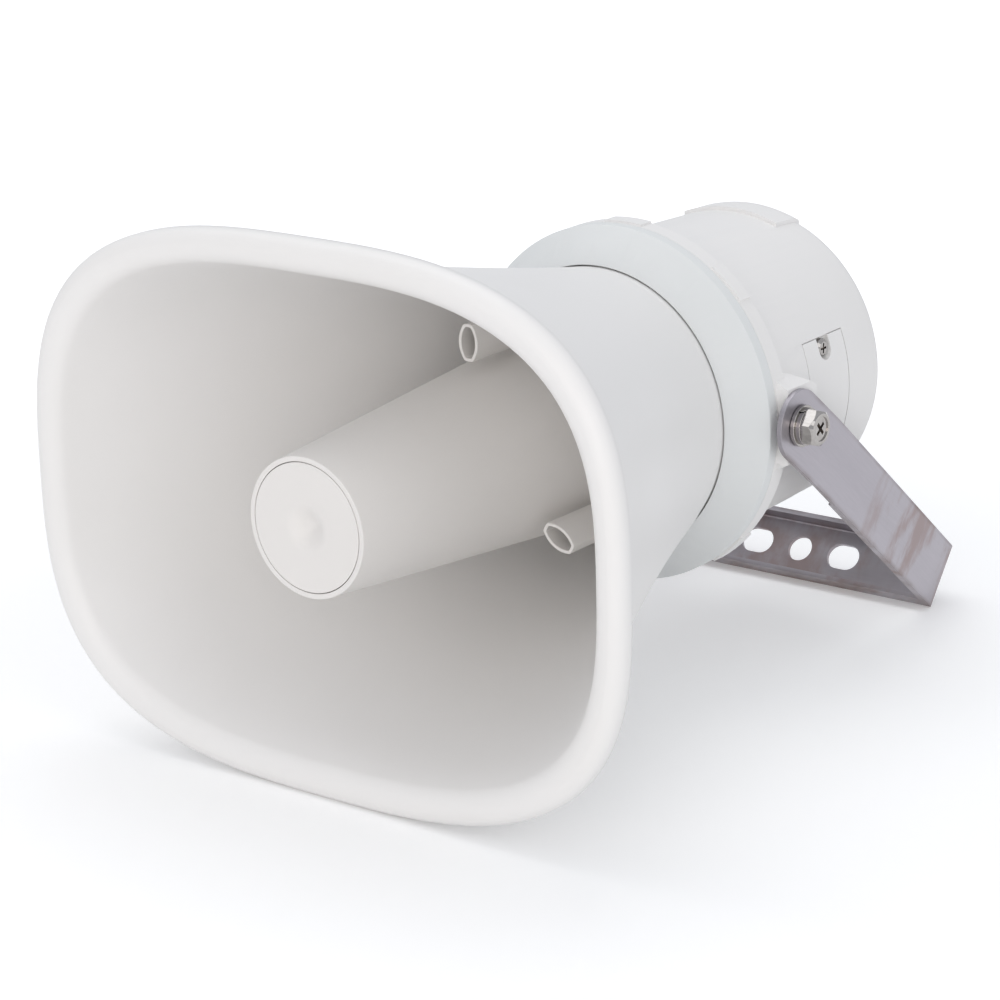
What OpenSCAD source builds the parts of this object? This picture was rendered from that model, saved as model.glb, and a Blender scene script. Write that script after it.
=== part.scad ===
// Re-entrant paging horn: a rounded-rectangle flare on a round neck, a beveled clamp ring,
// a can with the compression driver and its transformer, and a U bracket on two side lugs.
// Units are millimetres. The horn's axis runs along Y with the mouth towards -Y, and +Z is up.
// The origin is on the floor, under the middle of the whole object.

/* [Flare] */
// Width of the mouth over its rolled lip
mouth_w = 262; // [240:0.5:300]
// Height of the mouth over its rolled lip
mouth_h = 201; // [185:0.5:220]
// Squareness of the mouth, as a superellipse exponent
mouth_square = 2.95; // [2.4:0.05:4]
// Distance from the front of the clamp ring to the front of the lip
flare_depth = 172; // [160:0.5:200]
// Outer diameter of the round neck
neck_d = 112; // [110:0.5:113]
// Wall of the flare
flare_wall = 3; // [2:0.1:3.5]
// Inner rounding of the lip
lip_in_r = 8; // [6:0.5:12]
// Outer rounding of the lip
lip_out_r = 5; // [4:0.5:6]
// Straight edge of the lip behind its rounding
lip_back = 2.5; // [1:0.5:5]
// How fast the width opens: 1 is a straight cone
flare_curve_w = 1.25; // [1.05:0.05:1.8]
// How fast the height opens
flare_curve_h = 1.15; // [1.05:0.05:1.8]
// Diameter of the neck's rear flange, which the ring holds
neck_flange_d = 120; // [116:0.5:121]
// Thickness of the neck's rear flange
neck_flange_t = 3; // [2:0.5:4]

/* [Clamp ring] */
// How far the ring stands out beyond the can
ring_rim = 7; // [6:0.5:10]
// Diameter at which the small inner bevel meets the wide bevel
ring_face_d = 117.2; // [116:0.2:120]
// Depth of the small inner bevel
ring_small_bevel = 0.8; // [0.4:0.1:1.5]
// Depth of the wide bevel
ring_bevel = 11; // [8:0.5:12]
// Length of the ring along the axis
ring_len = 16; // [15:0.5:20]
// Depth of the ring's lip in front of the neck's flange
ring_lip_t = 5.8; // [4.5:0.1:6]
// Gap round the neck
neck_gap = 0.6; // [0.5:0.1:1.2]

/* [Reflector] */
// Diameter of the reflector tube at its front
reflector_tip_d = 50.7; // [44:0.1:56]
// Diameter of the reflector tube at its open rear end
reflector_rear_d = 73.6; // [68:0.1:74]
// Distance of the open rear end behind the tube's front
reflector_len = 136; // [120:1:150]
// Wall of the reflector tube
reflector_wall = 2.2; // [1.5:0.1:3]
// Diameter of the end cap
cap_d = 46.4; // [42:0.1:46.8]
// Thickness of the end cap
cap_t = 3; // [2:0.5:4]
// Diameter of the hollow in the middle of the cap
dimple_d = 19; // [12:0.5:26]
// Depth of the hollow in the cap
dimple_depth = 3.4; // [1:0.1:5]
// Width of the seam round the cap
cap_seam = 0.3; // [0.2:0.05:0.5]

/* [Tone arm] */
// Bore at the driver's end
throat_d = 19; // [17:0.5:21]
// Bore at the front end of the tone arm
tone_arm_tip_d = 27; // [24:0.5:29]
// Wall of the tone arm
tone_arm_wall = 2.2; // [1.5:0.1:3]
// Gap between the tone arm's front end and the end cap
tone_arm_gap = 22; // [16:1:32]
// Diameter of the tone arm's flange
tone_flange_d = 73; // [71:0.5:74]
// Thickness of the tone arm's flange
tone_flange_t = 4; // [3:0.5:5]
// Thickness of the three fins that carry the reflector
fin_t = 2.4; // [1.6:0.1:3]
// Length of the fins
fin_len = 70; // [50:1:90]

/* [Horn base] */
// Thickness of the base disc that closes the neck
base_t = 4; // [3:0.5:4.5]
// Thickness of the gasket between the neck and the base disc
gasket_t = 1; // [0.6:0.1:1.5]
// Number of hollow posts
post_n = 3; // [3:1:4]
// Length of the posts in front of the base disc
post_len = 90; // [60:1:110]
// Distance of the posts' middle from the horn's axis
post_pitch_r = 44.6; // [44.4:0.1:44.8]
// Width of a post across the radius
post_w = 8.6; // [8:0.1:9]
// Height of a post along the radius
post_h = 14; // [12:0.1:14.2]
// Wall of a post
post_wall = 1.2; // [1:0.1:1.4]
// How much longer than the post its two bowed sides run before they would meet
post_point = 1.6; // [1.2:0.1:3]

/* [Rear can] */
// Diameter of the can behind its flange
can_front_d = 126; // [122:0.5:130]
// How much narrower the can is at its rear edge
can_draft = 5.4; // [2:0.1:8]
// Length of the can behind the clamp ring
can_len = 94; // [90:0.5:110]
// Wall of the can
can_wall = 3; // [2.5:0.1:3.5]
// Thickness of the can's rear wall
can_end_t = 3.5; // [2.5:0.1:4.5]
// Rounding of the can's rear edge
can_edge_r = 8; // [5:0.5:12]
// Thickness of the can's front flange
can_flange_t = 7.5; // [6:0.5:9]
// Width of the locking tabs behind the ring
tab_w = 17; // [12:0.5:20]
// Height of the locking tabs above the flange
tab_h = 0.8; // [0.4:0.1:1.2]
// Angle between neighbouring locking tabs, in degrees
tab_angle = 42; // [30:1:48]
// Height of the two pads at the can's rear edge
pad_h = 1.5; // [0.5:0.1:2]
// Width of the two pads
pad_w = 52; // [40:1:60]
// Length of the two pads
pad_len = 20; // [14:0.5:24]

/* [Side lugs] */
// How far a lug's face stands out beyond the can
lug_rise = 10.25; // [10:0.05:11]
// Height of a lug
lug_h = 35; // [30:0.5:40]
// Length of a lug along the horn's axis
lug_len = 27.5; // [26:0.5:28]
// Distance of the pivot behind the clamp ring
pivot_back = 7.6; // [7.4:0.1:10]
// Outer diameter of the threaded insert
insert_d = 11; // [10:0.1:12]
// Length of the threaded insert
insert_len = 14; // [12:0.5:15]

/* [Side cover] */
// Length of the side cover along the horn's axis
cover_len = 29; // [26:0.5:32]
// Height of the side cover
cover_h = 44; // [40:0.5:46]
// Distance of the cover behind the clamp ring
cover_back = 36.5; // [36:0.5:40]
// Thickness of the cover
cover_t = 2.6; // [2:0.1:3]
// Thickness of the cover's gasket
cover_gasket_t = 0.8; // [0.5:0.1:1.2]
// Width of the ledge on which the cover rests
cover_ledge = 3; // [2:0.5:4]
// Gap round the cover
cover_gap = 0.4; // [0.2:0.1:0.6]
// Width of the hollow round the cover's screw
screw_pocket_w = 8.6; // [8.2:0.1:9.4]
// Height of the cover's screw above the horn's axis
cover_screw_z = 17.6; // [16.5:0.1:18]

/* [Driver] */
// Diameter of the driver's throat plate
throat_plate_d = 83; // [80:0.5:84]
// Thickness of the throat plate at its rim
throat_plate_t = 9; // [8.5:0.1:10]
// Diameter of the diaphragm's dome
dome_d = 38; // [36:0.5:40]
// Height of the diaphragm's dome
dome_h = 4; // [3.5:0.1:4.2]
// Thickness of the diaphragm
dome_t = 0.5; // [0.4:0.05:0.6]
// Greatest travel of the diaphragm each way
dome_travel = 0.3; // [0.1:0.05:0.3]
// Thickness of the diaphragm's edge suspension
edge_t = 0.4; // [0.3:0.05:0.6]
// Length of the voice coil's former
coil_len = 7.6; // [6:0.1:9]
// Length of the voice coil's winding
coil_wind_len = 4.8; // [3:0.1:5.5]
// Thickness of the winding
coil_wind_t = 0.6; // [0.4:0.05:0.8]
// Thickness of the front steel plate
top_plate_t = 6; // [5:0.5:8]
// Diameter of the ferrite magnet
magnet_d = 80; // [74:0.5:80]
// Inner diameter of the ferrite magnet
magnet_bore_d = 49; // [46:0.5:56]
// Thickness of the ferrite magnet
magnet_t = 15; // [12:0.5:18]
// Diameter of the rear steel plate
yoke_d = 76; // [70:0.5:80]
// Thickness of the rear steel plate
yoke_t = 7; // [5:0.5:8]
// Diameter of the vent through the pole
pole_vent_d = 9; // [6:0.5:12]
// Clearance of the coil in the magnetic gap, each side
coil_gap = 0.6; // [0.5:0.05:0.8]

/* [Transformer and terminals] */
// Width of the transformer's core
core_w = 48; // [44:1:50]
// Height of the transformer's core
core_h = 40; // [38:1:42]
// Thickness of the core's stack
core_t = 16; // [14:0.5:18]
// Overhang of the winding at each face of the core
winding_over = 7; // [5:0.5:9]
// Length of the bosses under the transformer's feet
foot_boss_len = 9; // [8:0.5:11]
// Length of the terminal block
block_len = 30; // [26:1:31]
// Width of the terminal block
block_w = 15; // [12:0.5:17]
// Height of the terminal block
block_t = 11; // [9:0.5:12]
// Number of terminals
terminal_n = 4; // [2:1:4]

/* [Cable gland] */
// Diameter of the gland's threaded shank
gland_d = 16; // [15:0.5:17]
// Bore for the cable
cable_bore_d = 7; // [5:0.1:7.5]
// Distance of the gland below the horn's axis
gland_drop = 38; // [36:0.5:40]
// Width of the gland's hexagons across the flats
gland_af = 20; // [19:0.5:22]

/* [Bracket] */
// How far each arm leans in towards the foot
arm_lean = 6; // [1.5:0.1:7]
// Distance from the pivot to the outer face of the foot
bracket_len = 154.5; // [147:0.5:160]
// Angle of the arms below the horn's axis, in degrees
bracket_tilt = 38.7; // [36:0.1:42]
// Width of the bracket's strip
strip_w = 27.5; // [26:0.5:29]
// Thickness of the sheet
sheet_t = 2; // [1.5:0.1:2.1]
// Outer bend radius between an arm and the foot
bend_r = 4.5; // [3.5:0.5:6]
// Height of the foot's two stiffening flanges
foot_flange_h = 10; // [7:0.5:13]
// Outer bend radius of the stiffening flanges
foot_bend_r = 3; // [2.5:0.5:3.5]
// Depth of the narrow rims along the arms' edges
rim_h = 3.4; // [2.6:0.1:3.4]
// Distance from the pivot to the start of these rims
rim_start = 45; // [40:1:60]
// Width of the round hole and the slots in the foot
foot_hole_d = 11; // [9:0.5:12]
// Length of the slots in the foot
slot_len = 15; // [13:0.5:17]
// Distance from the round hole to each slot's middle
slot_pitch = 21.3; // [20:0.1:26]

/* [Fasteners] */
// Diameter of the two pivot bolts
bolt_d = 8; // [6:0.5:8]
// Width of the bolt's head across the flats
bolt_af = 13; // [11:0.5:14]
// Height of the bolt's head
bolt_head_t = 5.3; // [4:0.1:6]
// Length of the bolt's thread in the insert
bolt_bite = 12; // [8:0.5:13]
// Outer diameter of the flat washers
washer_d = 16; // [14:0.5:18]
// Thickness of the flat washers
washer_t = 1.6; // [1:0.1:2]
// Outer diameter of the spring washers
spring_washer_d = 14.2; // [13:0.1:15]
// Thickness of the spring washers
spring_washer_t = 2; // [1.6:0.1:2.2]
// Diameter of the base disc's screws, inside the posts
post_screw_d = 3; // [2.5:0.1:3.2]
// Diameter of the driver's screws
driver_screw_d = 4; // [3:0.1:4.2]
// Diameter of the small housing screws
small_screw_d = 3; // [2.5:0.1:3.2]
// Diameter of the cover's screw
cover_screw_d = 4; // [3:0.1:4]

/* [Hidden] */
$fn = 96;
eps = 0.01;
// Running gap between flat faces of the bracket and of the horn
side_gap = 0.15;
// Radial clearance of a screw or pin in its hole
slide_fit = 0.05;
// Clearance between neighbouring curved shells
shell_gap = 0.3;

// Stations along the horn's axis, from the front of the clamp ring
lip_front_y = -flare_depth;
neck_r = neck_d / 2;
neck_in_r = neck_r - flare_wall;
flange_y = ring_lip_t + 0.2;
neck_end_y = flange_y + neck_flange_t;
base_y = neck_end_y + gasket_t;
base_rear_y = base_y + base_t;
throat_end_y = base_rear_y + throat_plate_t;
top_plate_y = throat_end_y + edge_t;
magnet_y = top_plate_y + top_plate_t;
yoke_y = magnet_y + magnet_t;
can_end_y = ring_len + can_len;
can_floor_y = can_end_y - can_end_t;
pivot_y = ring_len + pivot_back;
cover_y = ring_len + cover_back;

// Lip of the flare: sections before it open by a power law, then two arcs roll the edge
lip_start_angle = 19;
lip_start_y = lip_front_y + lip_in_r * (1 - sin(lip_start_angle));
lip_apex_off = lip_in_r * cos(lip_start_angle);
lip_a = mouth_w / 2 - lip_out_r - lip_apex_off;
lip_b = mouth_h / 2 - lip_out_r - lip_apex_off;
flare_sides = 72;

// Reflector
reflector_rear_y = lip_front_y + reflector_len;
fin_start_y = lip_front_y + tone_arm_gap + 12;
cap_seat_w = 1.8;

// The pivot bolts, outwards from the lug
ring_d = can_front_d + 2 * ring_rim;
lug_face_x = can_front_d / 2 + lug_rise;
arm_out_x = lug_face_x + side_gap + sheet_t;
foot_x = arm_out_x - arm_lean;
washer_x = arm_out_x + side_gap;
spring_x = washer_x + washer_t;
head_x = spring_x + spring_washer_t;
lug_front_y = ring_len + 0.6;

// Centres [y, z] of the bends at the lower and the upper edge of the bracket's foot
foot_reach = bracket_len - foot_bend_r;
foot_half = strip_w / 2 - foot_bend_r;
function foot_bend(side) = [
    pivot_y + foot_reach * cos(bracket_tilt) + side * foot_half * sin(bracket_tilt),
    side * foot_half * cos(bracket_tilt) - foot_reach * sin(bracket_tilt)];

// The horn rests on its lip and on the foot's lower bend, so its mouth dips by a small angle
lip_low = [lip_front_y + lip_out_r, -mouth_h / 2];
stand = foot_bend(-1) - lip_low;
dip = asin(foot_bend_r / norm(stand)) - atan2(stand[1], stand[0]);
function dipped(p) = [p[0] * cos(dip) - p[1] * sin(dip), p[0] * sin(dip) + p[1] * cos(dip)];
front_y = dipped([lip_low[0], mouth_h / 2 - lip_out_r])[0] - lip_out_r;
rear_y = dipped(foot_bend(1))[0] + foot_bend_r;

// Where the horn's axis lies over the origin
axis_z = -dipped(lip_low)[1];
axis_y = -(front_y + rear_y) / 2;

// Driver
dome_r = dome_d / 2;
dome_ball_r = (dome_r * dome_r + dome_h * dome_h) / (2 * dome_h);
dome_rim_y = throat_end_y;
dome_apex_y = dome_rim_y - dome_h + dome_t;
plug_gap = dome_t + dome_travel + 0.4;
coil_in_r = dome_r - 0.4;
coil_out_r = dome_r + coil_wind_t;
pole_r = coil_in_r - coil_gap;
gap_r = coil_out_r + coil_gap;
edge_in_r = dome_r + 1.1 + shell_gap;
edge_out_r = edge_in_r + 5.6;
driver_screw_r = 31;
plug_r = 13;

shell_white = [0.88, 0.88, 0.87];
ring_white = [0.84, 0.86, 0.86];
steel = [0.66, 0.64, 0.66];
chrome = [0.8, 0.8, 0.8];
rubber = [0.12, 0.12, 0.12];
plated = [0.72, 0.72, 0.7];
ferrite = [0.2, 0.2, 0.21];
copper = [0.72, 0.42, 0.2];
brass = [0.75, 0.62, 0.32];

// Moves from the horn's axis at the front of the clamp ring to the origin
module on_axis() {
    translate([0, axis_y, axis_z]) rotate([dip, 0, 0]) children();
}

// Revolves an outline of [radius, y] points about the horn's axis
module turned(outline) {
    rotate([-90, 0, 0]) rotate_extrude() polygon(outline);
}

// A cylinder along the horn's axis from y0 to y1
module barrel(r, y0, y1) {
    translate([0, y0, 0]) rotate([-90, 0, 0]) cylinder(r = r, h = y1 - y0);
}

// A cylinder along X from x0 to x1, at height z and station y
module cross_pin(r, x0, x1, y, z) {
    translate([x0, y, z]) rotate([0, 90, 0]) cylinder(r = r, h = x1 - x0);
}

// A box given by its two corners
module block(low, high) {
    translate(low) cube(high - low);
}

// Repeats its children about the horn's axis, the first at the top
module around(n, start = 0) {
    for (i = [0:n - 1]) rotate([0, start + 360 / n * i, 0]) children();
}

// A pan-head screw along +Y whose head starts at y = 0 and whose shank ends at length
module pan_screw(d, length) {
    head_r = d * 0.93;
    head_t = d * 0.7;
    difference() {
        union() {
            rotate([-90, 0, 0]) rotate_extrude() polygon([
                [0, -head_t], [head_r * 0.7, -head_t], [head_r, -head_t * 0.6], [head_r, 0], [0, 0]]);
            translate([0, -eps, 0]) rotate([-90, 0, 0]) cylinder(d = d, h = length + eps);
        }
        for (turn = [0, 90]) rotate([0, turn, 0])
            block([-d * 0.11, -head_t - 1, -d * 0.5], [d * 0.11, -head_t * 0.45, d * 0.5]);
    }
}

// Size and squareness of the flare's inner surface at a station
function opening(y) = max(0, -y) / -lip_start_y;
function half_w(y) = neck_in_r + (lip_a - neck_in_r) * pow(opening(y), flare_curve_w);
function half_h(y) = neck_in_r + (lip_b - neck_in_r) * pow(opening(y), flare_curve_h);
function square_at(y) = 2 + (mouth_square - 2) * sqrt(min(1, opening(y)));
// Mean slope of the wall, which makes its section thicker than the wall
function slope_at(y) = y >= 0 ? 0 : (
    (lip_a - neck_in_r) * flare_curve_w * pow(opening(y), flare_curve_w - 1)
    + (lip_b - neck_in_r) * flare_curve_h * pow(opening(y), flare_curve_h - 1)) / 2 / -lip_start_y;
function wall_off(y) = flare_wall * sqrt(1 + pow(slope_at(y), 2));
// One point of a superellipse
function bulge(v, p) = sign(v) * pow(abs(v), 2 / p);
function section_point(y, off, at, t) = [
    (half_w(at) + off) * bulge(cos(t), square_at(at)), y,
    (half_h(at) + off) * bulge(sin(t), square_at(at))];

// The wall's outline as [y, offset from the inner surface, station of the section]
stations = [-8, -20, -34, -50, -68, -88, -108, -128, -146];
scaled_stations = [for (s = stations) s / 166 * -lip_start_y];
outer_wall = concat(
    [[neck_end_y, neck_flange_d / 2 - neck_in_r, 0], [flange_y, neck_flange_d / 2 - neck_in_r, 0],
        [flange_y, flare_wall, 0], [0, flare_wall, 0]],
    [for (y = scaled_stations) [y, wall_off(y), y]]);
lip_c_y = lip_front_y + lip_in_r;
lip_e_y = lip_front_y + lip_out_r;
under_lip = concat(
    [for (t = [lip_start_angle:23.66:90]) [lip_c_y - (lip_in_r - flare_wall) * sin(t),
        lip_apex_off - (lip_in_r - flare_wall) * cos(t), lip_start_y]],
    [for (t = [45, 0]) [lip_e_y - (lip_out_r - flare_wall) * sin(t),
        lip_apex_off + (lip_out_r - flare_wall) * cos(t), lip_start_y]],
    [[lip_e_y + lip_back, lip_apex_off + lip_out_r - flare_wall, lip_start_y]]);
front_lip = concat(
    [[lip_e_y + lip_back, lip_apex_off + lip_out_r, lip_start_y]],
    [for (t = [0:22.5:89]) [lip_e_y - lip_out_r * sin(t), lip_apex_off + lip_out_r * cos(t), lip_start_y]],
    [for (t = [90:-14.2:lip_start_angle]) [lip_c_y - lip_in_r * sin(t),
        lip_apex_off - lip_in_r * cos(t), lip_start_y]]);
inner_wall = concat(
    [for (i = [len(scaled_stations) - 1:-1:0]) [scaled_stations[i], 0, scaled_stations[i]]],
    [[0, 0, 0], [neck_end_y, 0, 0]]);
flare_outline = concat(outer_wall, under_lip, front_lip, inner_wall);

module flare() {
    rows = len(flare_outline);
    points = [for (row = flare_outline) for (k = [0:flare_sides - 1])
        section_point(row[0], row[1], row[2], (k + 0.5) * 360 / flare_sides)];
    faces = [for (i = [0:rows - 1]) for (k = [0:flare_sides - 1])
        let (j = (i + 1) % rows, m = (k + 1) % flare_sides)
        [i * flare_sides + k, j * flare_sides + k, j * flare_sides + m, i * flare_sides + m]];
    color(shell_white) on_axis() polyhedron(points = points, faces = faces, convexity = 6);
}

module neck_gasket() {
    color(rubber) on_axis() turned([
        [neck_in_r + 1, neck_end_y], [neck_flange_d / 2 - 1, neck_end_y],
        [neck_flange_d / 2 - 1, base_y], [neck_in_r + 1, base_y]]);
}

ring_bore_r = neck_r + neck_gap;
ring_seat_r = neck_flange_d / 2 + 1;
module clamp_ring() {
    color(ring_white) on_axis() turned([
        [ring_bore_r, 0], [ring_face_d / 2, ring_small_bevel], [ring_d / 2, ring_bevel],
        [ring_d / 2, ring_len], [ring_seat_r, ring_len], [ring_seat_r, ring_lip_t],
        [ring_bore_r, ring_lip_t]]);
}

// The posts, shrunk on all sides, from y0 to y1: two bowed sides and rounded tips
module posts(shrink, y0, y1) {
    w = post_w / 2;
    reach = post_h / 2 + post_point;
    bow_r = (reach * reach + w * w) / (2 * w);
    around(post_n) translate([0, 0, post_pitch_r]) intersection() {
        barrel(post_h / 2 - shrink, y0, y1);
        translate([bow_r - w, 0, 0]) barrel(bow_r - shrink, y0, y1);
        translate([w - bow_r, 0, 0]) barrel(bow_r - shrink, y0, y1);
    }
}

base_r = ring_seat_r - 0.5;
// Clearance holes for the driver's screws, from y0 to y1
module driver_screw_holes(y0, y1, fit = 0.25) {
    around(4, 45) translate([0, 0, driver_screw_r]) barrel(driver_screw_d / 2 + fit, y0, y1);
}

module horn_base() {
    color(shell_white) on_axis() difference() {
        union() {
            barrel(base_r, base_y, base_rear_y);
            posts(0, base_y - post_len, base_y + 1);
        }
        barrel(throat_d / 2, base_y - 1, base_rear_y + 1);
        posts(post_wall, base_y - post_len - 1, base_y);
        around(post_n) translate([0, 0, post_pitch_r])
            barrel(post_screw_d / 2 + 0.2, base_y - 1, base_rear_y + 1);
        driver_screw_holes(base_y - 1, base_rear_y + 1);
    }
}

screw_boss_len = 16;
module base_screws() {
    color(plated) on_axis() around(post_n) translate([0, base_y, post_pitch_r])
        pan_screw(post_screw_d, base_t + screw_boss_len - 3);
}

// Outer radius of the reflector at a station
function reflector_r(y) = reflector_tip_d / 2
    + (reflector_rear_d - reflector_tip_d) / 2 * (y - lip_front_y) / reflector_len;
module reflector_tube() {
    seat_y = lip_front_y + cap_t;
    ledge_y = seat_y + 2;
    hole_r = cap_d / 2 + cap_seam;
    color(shell_white) on_axis() turned([
        [hole_r, lip_front_y], [reflector_tip_d / 2, lip_front_y],
        [reflector_r(reflector_rear_y), reflector_rear_y],
        [reflector_r(reflector_rear_y) - reflector_wall, reflector_rear_y],
        [reflector_r(ledge_y) - reflector_wall, ledge_y + 1],
        [cap_d / 2 - cap_seat_w, ledge_y + 1], [cap_d / 2 - cap_seat_w, seat_y], [hole_r, seat_y]]);
}

// A disc with a soft hollow outside and a blunt cone inside
module reflector_cap() {
    steps = [0:0.125:1];
    outside = [for (u = steps) [dimple_d / 2 * u, lip_front_y + dimple_depth * (1 + cos(180 * u)) / 2]];
    inside = [for (u = [1:-0.125:0]) [dimple_d * 0.62 * u,
        lip_front_y + cap_t + (dimple_depth + 2.5) * (1 + cos(180 * u)) / 2]];
    color(shell_white) on_axis() turned(concat(
        outside, [[cap_d / 2, lip_front_y], [cap_d / 2, lip_front_y + cap_t]], inside));
}

tone_tip_y = lip_front_y + tone_arm_gap;
tone_flange_y = base_y - tone_flange_t;
function tone_r(y) = throat_d / 2
    + (tone_arm_tip_d - throat_d) / 2 * (base_y - y) / (base_y - tone_tip_y);
module tone_arm() {
    tip_r = tone_r(tone_tip_y);
    root_r = tone_r(tone_flange_y) + tone_arm_wall;
    color(shell_white) on_axis() difference() {
        union() {
            turned([
                [tip_r, tone_tip_y], [tip_r + tone_arm_wall, tone_tip_y], [root_r, tone_flange_y],
                [tone_flange_d / 2, tone_flange_y], [tone_flange_d / 2, base_y],
                [throat_d / 2, base_y]]);
            intersection() {
                around(3, 180)
                    block([-fin_t / 2, fin_start_y, tip_r], [fin_t / 2, fin_start_y + fin_len, 60]);
                turned([
                    [tip_r + tone_arm_wall / 2, fin_start_y - 1],
                    [reflector_r(fin_start_y - 1) - reflector_wall - 0.15, fin_start_y - 1],
                    [reflector_r(reflector_rear_y) - reflector_wall - 0.15, reflector_rear_y],
                    [root_r - tone_arm_wall / 2, reflector_rear_y]]);
            }
        }
        driver_screw_holes(tone_flange_y - 1, base_y + 1);
    }
}

module driver_screws() {
    color(plated) on_axis() around(4, 45) translate([0, tone_flange_y, driver_screw_r])
        pan_screw(driver_screw_d, top_plate_y + top_plate_t - 1 - tone_flange_y);
}

// Front surface of the dome at a radius
function dome_y(r) = dome_apex_y + dome_ball_r - sqrt(dome_ball_r * dome_ball_r - r * r);
channel_in_r = 12;
channel_out_r = 15;
recess_r = edge_in_r + 2.5;
module throat_plate() {
    floor_y = dome_y(channel_out_r) - plug_gap;
    color([0.6, 0.6, 0.61]) on_axis() difference() {
        barrel(throat_plate_d / 2, base_rear_y, throat_end_y);
        barrel(recess_r, floor_y, throat_end_y + 1);
        turned([
            [0, base_rear_y - 1], [throat_d / 2, base_rear_y - 1], [throat_d / 2, base_rear_y + 1],
            [channel_out_r, floor_y - 0.5], [channel_out_r, floor_y + 1], [0, floor_y + 1]]);
        driver_screw_holes(base_rear_y - 1, throat_end_y + 1);
        around(post_n) translate([0, 0, post_pitch_r])
            barrel(screw_boss_r + 0.5, base_rear_y - 1, throat_end_y + 1);
    }
}

// Bullet in the throat, carried on three thin spokes
module phase_plug() {
    back = [for (u = [1:-0.2:0]) [channel_in_r * u, dome_y(channel_in_r * u) - plug_gap]];
    floor_y = dome_y(channel_out_r) - plug_gap;
    spoke_y = base_rear_y + 3.2;
    spoke_r = channel_in_r - 1.5;
    color(shell_white) on_axis() union() {
        turned(concat([[0, base_rear_y - 3], [2.4, base_rear_y - 2], [6, base_rear_y + 1.5],
            [channel_in_r, dome_y(channel_in_r) - plug_gap - 1.2]], back));
        intersection() {
            around(3) block([-0.8, spoke_y, spoke_r], [0.8, dome_y(spoke_r) - plug_gap, 20]);
            turned([[0, base_rear_y + 1], [throat_d / 2, base_rear_y + 1],
                [channel_out_r - 0.05, floor_y - 0.5], [channel_out_r - 0.05, floor_y], [0, floor_y]]);
        }
    }
}

module diaphragm() {
    front = [for (u = [0:0.1:1]) [dome_r * u, dome_y(dome_r * u) - dome_t]];
    back = [for (u = [1:-0.1:0]) [(dome_r - 0.3) * u, dome_y((dome_r - 0.3) * u)]];
    rim_y = dome_y(dome_r) - dome_t;
    color([0.8, 0.78, 0.7]) on_axis() turned(concat(
        front, [[dome_r + 1.1, rim_y], [dome_r + 1.1, rim_y + dome_t], [dome_r, rim_y + dome_t]], back));
}

coil_y = dome_y(dome_r);
module voice_coil() {
    wind_y = coil_y + coil_len - coil_wind_len;
    color(copper) on_axis() turned([
        [coil_in_r, coil_y], [dome_r, coil_y], [dome_r, wind_y], [coil_out_r, wind_y],
        [coil_out_r, coil_y + coil_len], [coil_in_r, coil_y + coil_len]]);
}

module edge_suspension() {
    color([0.75, 0.72, 0.6]) on_axis() turned([
        [edge_in_r, throat_end_y], [edge_out_r, throat_end_y],
        [edge_out_r, top_plate_y], [edge_in_r, top_plate_y]]);
}

module top_plate() {
    color(plated) on_axis() difference() {
        barrel(magnet_d / 2 - 1, top_plate_y, magnet_y);
        barrel(gap_r, top_plate_y - 1, magnet_y + 1);
        driver_screw_holes(top_plate_y - 1, magnet_y - 0.5, slide_fit);
        around(post_n) translate([0, 0, post_pitch_r])
            barrel(screw_boss_r + 0.5, top_plate_y - 1, magnet_y + 1);
    }
}

module magnet_ring() {
    color(ferrite) on_axis() difference() {
        barrel(magnet_d / 2, magnet_y, yoke_y);
        barrel(magnet_bore_d / 2, magnet_y - 1, yoke_y + 1);
    }
}

module pole_yoke() {
    pole_top = dome_y(pole_r) + plug_gap;
    color(plated) on_axis() difference() {
        union() {
            barrel(yoke_d / 2, yoke_y, yoke_y + yoke_t);
            barrel(pole_r, pole_top, yoke_y + eps);
        }
        barrel(pole_vent_d / 2, pole_top - 1, yoke_y + yoke_t + 1);
    }
}

// Transformer: a core of laminations round a wound bobbin, in a steel frame with two feet
core_x = -13;
core_rear_y = can_floor_y - foot_boss_len - 1.2;
core_front_y = core_rear_y - core_t;
leg_w = core_w / 6;
foot_z = core_h / 2 + 6;
module transformer_core() {
    half_leg = leg_w;
    window_w = (core_w / 2 - leg_w - half_leg);
    window_h = core_h / 2 - leg_w;
    color([0.35, 0.34, 0.34]) on_axis() translate([core_x, 0, 0]) difference() {
        block([-core_w / 2, core_front_y, -core_h / 2], [core_w / 2, core_rear_y, core_h / 2]);
        for (s = [-1, 1]) translate([s * (half_leg + window_w / 2), 0, 0])
            block([-window_w / 2, core_front_y - 1, -window_h],
                [window_w / 2, core_rear_y + 1, window_h]);
    }
}

module transformer_winding() {
    gap = 0.15;
    half_leg = leg_w;
    out_x = core_w / 2 - leg_w - gap;
    half_z = core_h / 2 - leg_w - gap;
    color(copper) on_axis() translate([core_x, 0, 0]) difference() {
        block([-out_x, core_front_y - winding_over, -half_z],
            [out_x, core_rear_y + winding_over, half_z]);
        block([-half_leg - gap, core_front_y - gap, -half_z - 1],
            [half_leg + gap, core_rear_y + gap, half_z + 1]);
    }
}

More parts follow.
